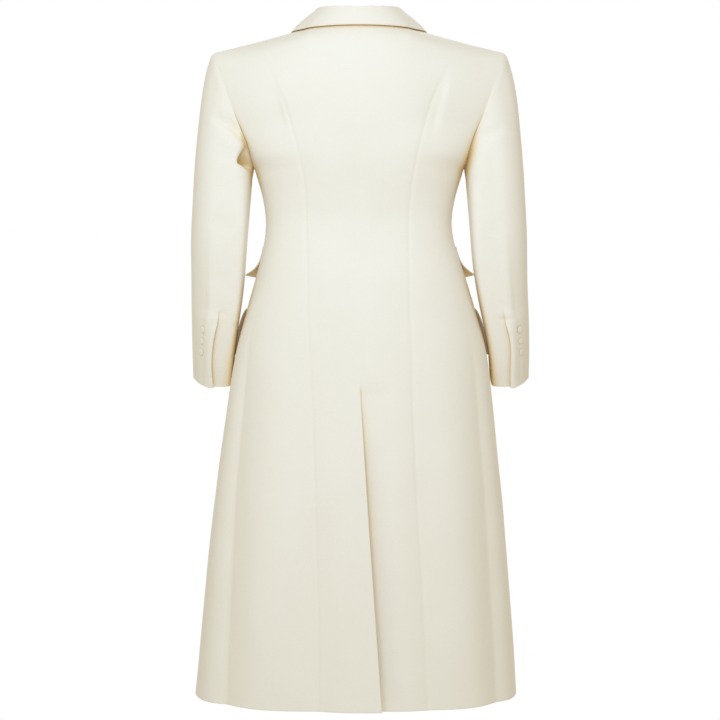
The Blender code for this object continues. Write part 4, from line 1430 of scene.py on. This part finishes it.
def sleeve_half(side, tag, upper, sizes):
    """Outside and inside grids of the upper or the under half of a sleeve."""
    along = sleeve_rows()
    if upper:
        first, last = np.full_like(along, FRONT_SEAM - 360), upper_edge(side, along)
    else:
        first, last = under_edge(side, along), np.full_like(along, FRONT_SEAM)
    middle = UPPER_COLUMNS if upper else UNDER_COLUMNS
    turn, to_first, to_last = settle_columns(sleeve_surface, first, last, along, middle)
    along = along[:, None]
    points = sleeve_surface(turn, along)
    normal = sleeve_normal(turn, along)
    run = column_lengths(points)
    to_cuff = run[-1] - run
    share = (turn - first[:, None]) / (last - first)[:, None]
    vent = below(CUFF_VENT_TOP, along)
    to_vent, to_front = (to_last, to_first) if upper else (to_first, to_last)
    closed = 1 - below(CUFF_VENT_TOP + CUFF_VENT_RAMP, along)
    head = ease(np.cos(np.radians(turn)) / HEAD_REACHED)
    height = seam_roll(sizes, to_front) + closed * BACK_SEAM_SHOWS * seam_roll(sizes, to_vent)
    low = ease(-np.cos(np.radians(turn)) / LOW_REACHED)
    shows = mix(mix(ARMHOLE_SEAM_SHOWS, HEAD_SEAM_SHOWS, head), LOW_ARMHOLE_SEAM_SHOWS, low)
    height = height + shows * seam_roll(sizes, run)
    from_head = (run - SLEEVE_HEAD_AT) / SLEEVE_HEAD_WIDTH
    height = height + SLEEVE_HEAD * head * np.exp(-(from_head**2))
    if upper:
        lift = CUFF_VENT_LIFT * ease((share - VENT_LIFT_FROM) / VENT_LIFT_RISE)
        height = height + (1 - closed) * lift
        flange = ease(1 - (to_vent - VENT_FLANGE_WIDTH) / VENT_FLANGE_RISE)
        height = height + vent * VENT_FLANGE * flange
    as_worn = worn(side, points)
    behind = ease(np.sin(np.radians(turn)) / BEHIND_REACHED)
    loose = behind * ease(run / CREASE_FREE)
    height = height + sizes.crease_share * loose * creases(f"sleeve_{tag}", as_worn)
    calm = ease(run / CALM_ARMHOLE) * ease(to_cuff / CALM_CUFF)
    height = height + sizes.unevenness / MM * slow_waves(as_worn) * calm
    round_off = turned_edge(sizes, to_cuff)
    round_off = np.maximum(round_off, vent * turned_edge(sizes, to_vent))
    outside = points + normal * (height - round_off)[..., None]
    inside = points + normal * (height - sizes.wall / MM + round_off)[..., None]
    return worn(side, outside), worn(side, inside)


class COAT_OT_sleeves(bpy.types.Operator):
    """Makes the two-piece sleeves, with the upper sleeve lapped over at the cuff vent"""

    bl_idname = "coat.make_sleeves"
    bl_label = "Sleeves"

    def execute(self, context):
        for side, tag in SIDES:
            for kind in ("sleeve_upper", "sleeve_under"):
                grids = sleeve_half(side, tag, kind == "sleeve_upper", context.scene.coat_sizes)
                make_piece(f"{kind}_{tag}", grids)
        return {"FINISHED"}


# Pocket flaps

FLAP_ROWS, FLAP_COLUMNS, FLAP_EDGE_ROWS = 20, 44, 4

# How far off the front the flap lies at its top; it stands off most at its rear end: the share left
# further on, and how soon that is reached
FLAP_SEAT, FLAP_FORE_SHARE, FLAP_LEAN = 0.6, 0.25, 3.0

# The sleeve presses the flap in: the clearance between them, how far out the flap looks for the
# sleeve, and over how many rows or columns the pressed place spreads
FLAP_CLEARANCE, FLAP_SIGHT, FLAP_PRESS_SPREAD = 0.25, 60.0, 4


def room_by_sleeve(tag, points, normal):
    """How far each point of a grid can move out before it meets the sleeve."""
    room = np.full(points.shape[:2], FLAP_SIGHT)
    for half in ("upper", "under"):
        mesh = bpy.data.objects[f"cloth_sleeve_{half}_{tag}"].data
        corners = [vertex.co for vertex in mesh.vertices]
        tree = BVHTree.FromPolygons(corners, [face.vertices[:] for face in mesh.polygons])
        for spot in np.ndindex(room.shape):
            start, out = Vector(points[spot] * MM), Vector(normal[spot])
            distance = tree.ray_cast(start, out, FLAP_SIGHT * MM)[3]
            if distance is not None:
                room[spot] = min(room[spot], distance / MM)
    return room


def spread_press(amount):
    """Each value of a row passed on to its neighbours, less and less with the distance."""
    step = np.arange(amount.shape[1])
    tent = np.clip(1 - np.abs(step[:, None] - step) / FLAP_PRESS_SPREAD, 0.0, 1.0)
    return (tent * amount[:, None, :]).max(axis=2)


def flap_grids(side, tag, flap, sizes):
    """A flap: the front's own surface, moved out more and more towards its lower edge."""
    drop = flap.top - flap.bottom
    by_edge = 1 - np.array(EDGE_STEPS[:FLAP_EDGE_ROWS]) / drop
    down = np.sort(np.concatenate([np.linspace(0, 1, FLAP_ROWS, endpoint=False), by_edge]))
    level = mix(flap.top, flap.bottom, down)
    surface = partial(body_surface, side, FRONT)
    rear, fore = np.full_like(level, flap.rear), np.full_like(level, flap.fore)
    place, to_rear, to_fore = settle_columns(surface, rear, fore, level, FLAP_COLUMNS)
    level, down = level[:, None], down[:, None]
    points = surface(place, level)
    normal = body_normal(side, FRONT, place, level)
    share = (flap.rear - place) / (flap.rear - flap.fore)
    lean = mix(1.0, FLAP_FORE_SHARE, ease(share * FLAP_LEAN))
    off = FLAP_SEAT + flap.stand_off * lean * down**flap.flare
    room = room_by_sleeve(tag, points, normal) - sizes.wall / MM - FLAP_CLEARANCE
    pressed = spread_press(spread_press(np.maximum(off - room, 0.0)).T).T
    off = np.maximum(off - pressed, FLAP_SEAT)
    edges = turned_edge(sizes, to_rear, to_fore, drop * (1 - down))
    outside = points + normal * (off + sizes.wall / MM - edges)[..., None]
    inside = points + normal * (off + edges)[..., None]
    return outside, inside


class COAT_OT_flaps(bpy.types.Operator):
    """Makes the two flared pocket flaps of each side"""

    bl_idname = "coat.make_flaps"
    bl_label = "Pocket flaps"

    def execute(self, context):
        for side, tag in SIDES:
            for flap in FLAPS:
                grids = flap_grids(side, tag, flap, context.scene.coat_sizes)
                kind = f"flap_{flap.name}"
                make_piece(f"{kind}_{tag}", grids)
        return {"FINISHED"}


# Buttons

BUTTON_SIDES = 40

# Profile of a covered button, as shares of its radius and height: flat back, pinched rim, soft dome
Turning = namedtuple("Turning", "radius height")
BUTTON_PROFILE = (
    Turning(0.0, 0.0),
    Turning(0.62, 0.0),
    Turning(0.74, 0.06),
    Turning(0.86, 0.10),
    Turning(0.96, 0.22),
    Turning(1.0, 0.36),
    Turning(0.97, 0.52),
    Turning(0.88, 0.70),
    Turning(0.72, 0.85),
    Turning(0.50, 0.95),
    Turning(0.25, 0.99),
    Turning(0.0, 1.0),
)


def button_profile(radius, height):
    return [Turning(row.radius * radius, row.height * height) for row in BUTTON_PROFILE]


def circle(count):
    """Points round a circle of radius 1."""
    steps = np.radians(np.arange(count) * 360 / count)
    return np.stack([np.cos(steps), np.sin(steps)], axis=-1)


def add_turned(name, profile, seat, out, material):
    """A turned closed form on its seat, with its axis along out."""
    ring = circle(BUTTON_SIDES)
    rings = [
        np.concatenate([row.radius * ring, np.full((len(ring), 1), row.height)], axis=1)
        for row in profile[1:-1]
    ]
    axis = Vector(out).to_track_quat("Z", "Y").to_matrix()
    bottom = np.array([(0.0, 0.0, profile[0].height)])
    top = np.array([(0.0, 0.0, profile[-1].height)])
    points = np.concatenate([bottom, *rings, top]) @ np.array(axis).T + seat
    last = len(points) - 1
    faces = []
    for k in range(BUTTON_SIDES):
        on = (k + 1) % BUTTON_SIDES
        faces.append((0, 1 + on, 1 + k))
        for row in range(len(rings) - 1):
            low, high = 1 + row * BUTTON_SIDES, 1 + (row + 1) * BUTTON_SIDES
            faces.append((low + k, low + on, high + on, high + k))
        end = 1 + (len(rings) - 1) * BUTTON_SIDES
        faces.append((end + k, end + on, last))
    return add_mesh(name, points, faces, material)


def cuff_place(side, along, turn, height):
    """A point over a sleeve's outside and the direction out of it there."""
    normal = sleeve_normal(turn, along)
    seat = worn(side, sleeve_surface(turn, along) + normal * height)
    return seat, normal * np.array((side, 1.0, 1.0))


class COAT_OT_buttons(bpy.types.Operator):
    """Makes the covered buttons of the front and the cuffs"""

    bl_idname = "coat.make_buttons"
    bl_label = "Covered buttons"

    def execute(self, context):
        cloth = wool_crepe(context.scene.coat_colours)
        big = button_profile(FRONT_BUTTON_RADIUS, FRONT_BUTTON_HEIGHT)
        small = button_profile(CUFF_BUTTON_RADIUS, CUFF_BUTTON_HEIGHT)
        for number, spot in enumerate(FRONT_BUTTONS, 1):
            normal = body_normal(RIGHT, FRONT, 0.0, spot.level)
            seat = body_surface(RIGHT, FRONT, 0.0, spot.level) + normal * spot.seat
            obj = add_turned(f"covered_button_front_{number}", big, seat, normal, cloth)
            fit_piece(obj, f"button_front_{number}")
        for side, tag in SIDES:
            for number, spot in enumerate(CUFF_BUTTONS, 1):
                along = arm_place(spot.level)
                turn = float(upper_edge(side, along)) - CUFF_BUTTON_INSET
                seat, normal = cuff_place(side, along, turn, CUFF_VENT_LIFT + spot.seat)
                obj = add_turned(f"covered_button_cuff_{tag}{number}", small, seat, normal, cloth)
                fit_piece(obj, f"button_cuff_{tag}{number}")
        return {"FINISHED"}


# Stage

FILM_WIDTH = 36.0

# The floor's rolled edge: shares of its radius, and how far each lies below the floor
FLOOR_SIDES = 96
FloorRing = namedtuple("FloorRing", "reach drop")
FLOOR_RINGS = (
    FloorRing(0.985, 0.0),
    FloorRing(0.997, -2.0),
    FloorRing(1.0, -8.0),
)

# The soft lights: the setting of each one's power, its colour and its place, in metres; and the size,
# the spread in degrees and the height aimed at that they share
Lamp = namedtuple("Lamp", "name power colour x y z")
LAMPS = (
    Lamp("key_light", "key_power", "C8DEFF", 0.25, 2.3, 0.65),
    Lamp("fill_light", "fill_power", "CFE1FF", -0.5, -2.3, 0.8),
)
LAMP_WIDTH, LAMP_HEIGHT, LAMP_SPREAD, LAMP_AIM = 1.8, 1.2, 110.0, -0.1

# The room's colour as it lights the coat, and as it is seen
ROOM_LIGHTS, ROOM_SEEN = "FFF6E0", "FFFFFF"


class COAT_OT_stage(bpy.types.Operator):
    """Makes the camera behind the coat, the floor and the soft studio light"""

    bl_idname = "coat.make_stage"
    bl_label = "Studio"

    def execute(self, context):
        scene = context.scene
        studio = scene.coat_studio
        self.add_camera(scene, studio)
        self.add_floor(scene, studio)
        self.add_lights(scene, studio)
        scene.view_settings.view_transform = "Standard"
        scene.view_settings.look = "None"
        return {"FINISHED"}

    def add_camera(self, scene, studio):
        camera = bpy.data.cameras.new("coat_camera")
        camera.lens = studio.focal_length
        camera.sensor_width = FILM_WIDTH
        obj = bpy.data.objects.new("coat_camera", camera)
        obj.location = (studio.camera_aside, studio.camera_distance, studio.camera_height)
        obj.rotation_euler = (math.pi / 2, 0.0, math.pi)
        scene.collection.objects.link(obj)
        scene.camera = obj

    def add_floor(self, scene, studio):
        """A round, slightly rolled-edge floor under the worn coat."""
        ring = circle(FLOOR_SIDES) * studio.floor_radius / MM
        height = HEM - studio.floor_drop / MM
        points = [np.array([(0.0, 0.0, height)])]
        for row in FLOOR_RINGS:
            level = np.full((len(ring), 1), height + row.drop)
            points.append(np.concatenate([ring * row.reach, level], axis=1))
        faces = []
        for k in range(FLOOR_SIDES):
            on = (k + 1) % FLOOR_SIDES
            faces.append((0, 1 + k, 1 + on))
            for row in range(len(FLOOR_RINGS) - 1):
                low, high = 1 + row * FLOOR_SIDES, 1 + (row + 1) * FLOOR_SIDES
                faces.append((low + k, high + k, high + on, low + on))
        paint = painted_floor(scene.coat_colours)
        floor = add_mesh("studio_floor", np.concatenate(points), faces, paint)

    def add_lights(self, scene, studio):
        """Two large soft lights, and a white room that is seen brighter than it lights."""
        for lamp in LAMPS:
            light = bpy.data.lights.new(lamp.name, "AREA")
            light.shape = "RECTANGLE"
            light.size = LAMP_WIDTH
            light.size_y = LAMP_HEIGHT
            light.spread = math.radians(LAMP_SPREAD)
            light.energy = getattr(studio, lamp.power)
            light.color = linear(lamp.colour)
            obj = bpy.data.objects.new(lamp.name, light)
            obj.location = (lamp.x, lamp.y, lamp.z)
            aim = Vector((0.0, 0.0, LAMP_AIM)) - obj.location
            obj.rotation_euler = aim.to_track_quat("-Z", "Y").to_euler()
            scene.collection.objects.link(obj)
        world = bpy.data.worlds.new("white_room")
        world.use_nodes = True
        world.node_tree.nodes.clear()
        path = add_node(world, "ShaderNodeLightPath")
        room = add_node(
            world,
            "ShaderNodeBackground",
            {"Color": (*linear(ROOM_LIGHTS), 1.0), "Strength": studio.room_light},
        )
        seen = add_node(world, "ShaderNodeBackground", {"Color": (*linear(ROOM_SEEN), 1.0)})
        both = add_node(
            world,
            "ShaderNodeMixShader",
            {
                0: path.outputs["Is Camera Ray"],
                1: room.outputs["Background"],
                2: seen.outputs["Background"],
            },
        )
        add_node(world, "ShaderNodeOutputWorld", {"Surface": both.outputs["Shader"]})
        scene.world = world


class COAT_PT_panel(bpy.types.Panel):
    """Lists the coat's pieces and its settings"""

    bl_idname = "COAT_PT_panel"
    bl_label = "Long coat"
    bl_space_type = "VIEW_3D"
    bl_region_type = "UI"
    bl_category = "Coat"

    def draw(self, context):
        layout = self.layout
        for group in ("coat_sizes", "coat_colours", "coat_studio"):
            settings = getattr(context.scene, group)
            box = layout.box()
            for name in settings.__annotations__:
                box.prop(settings, name)
        for operator in OPERATORS:
            layout.operator(operator.bl_idname)


OPERATORS = (
    COAT_OT_stage,
    COAT_OT_back,
    COAT_OT_fronts,
    COAT_OT_lapels,
    COAT_OT_collar,
    COAT_OT_sleeves,
    COAT_OT_flaps,
    COAT_OT_buttons,
)
SETTINGS = (
    ("coat_sizes", CoatSizes),
    ("coat_colours", CoatColours),
    ("coat_studio", StudioSettings),
)


def register():
    for name, group in SETTINGS:
        bpy.utils.register_class(group)
        setattr(bpy.types.Scene, name, bpy.props.PointerProperty(type=group))
    for cls in (*OPERATORS, COAT_PT_panel):
        bpy.utils.register_class(cls)


def unregister():
    for cls in (COAT_PT_panel, *reversed(OPERATORS)):
        bpy.utils.unregister_class(cls)
    for name, group in reversed(SETTINGS):
        delattr(bpy.types.Scene, name)
        bpy.utils.unregister_class(group)


def main():
    register()
    bpy.ops.coat.make_stage()
    bpy.ops.coat.make_back()
    bpy.ops.coat.make_fronts()
    bpy.ops.coat.make_lapels()
    bpy.ops.coat.make_collar()
    bpy.ops.coat.make_sleeves()
    bpy.ops.coat.make_flaps()
    bpy.ops.coat.make_buttons()


if __name__ == "__main__":
    main()
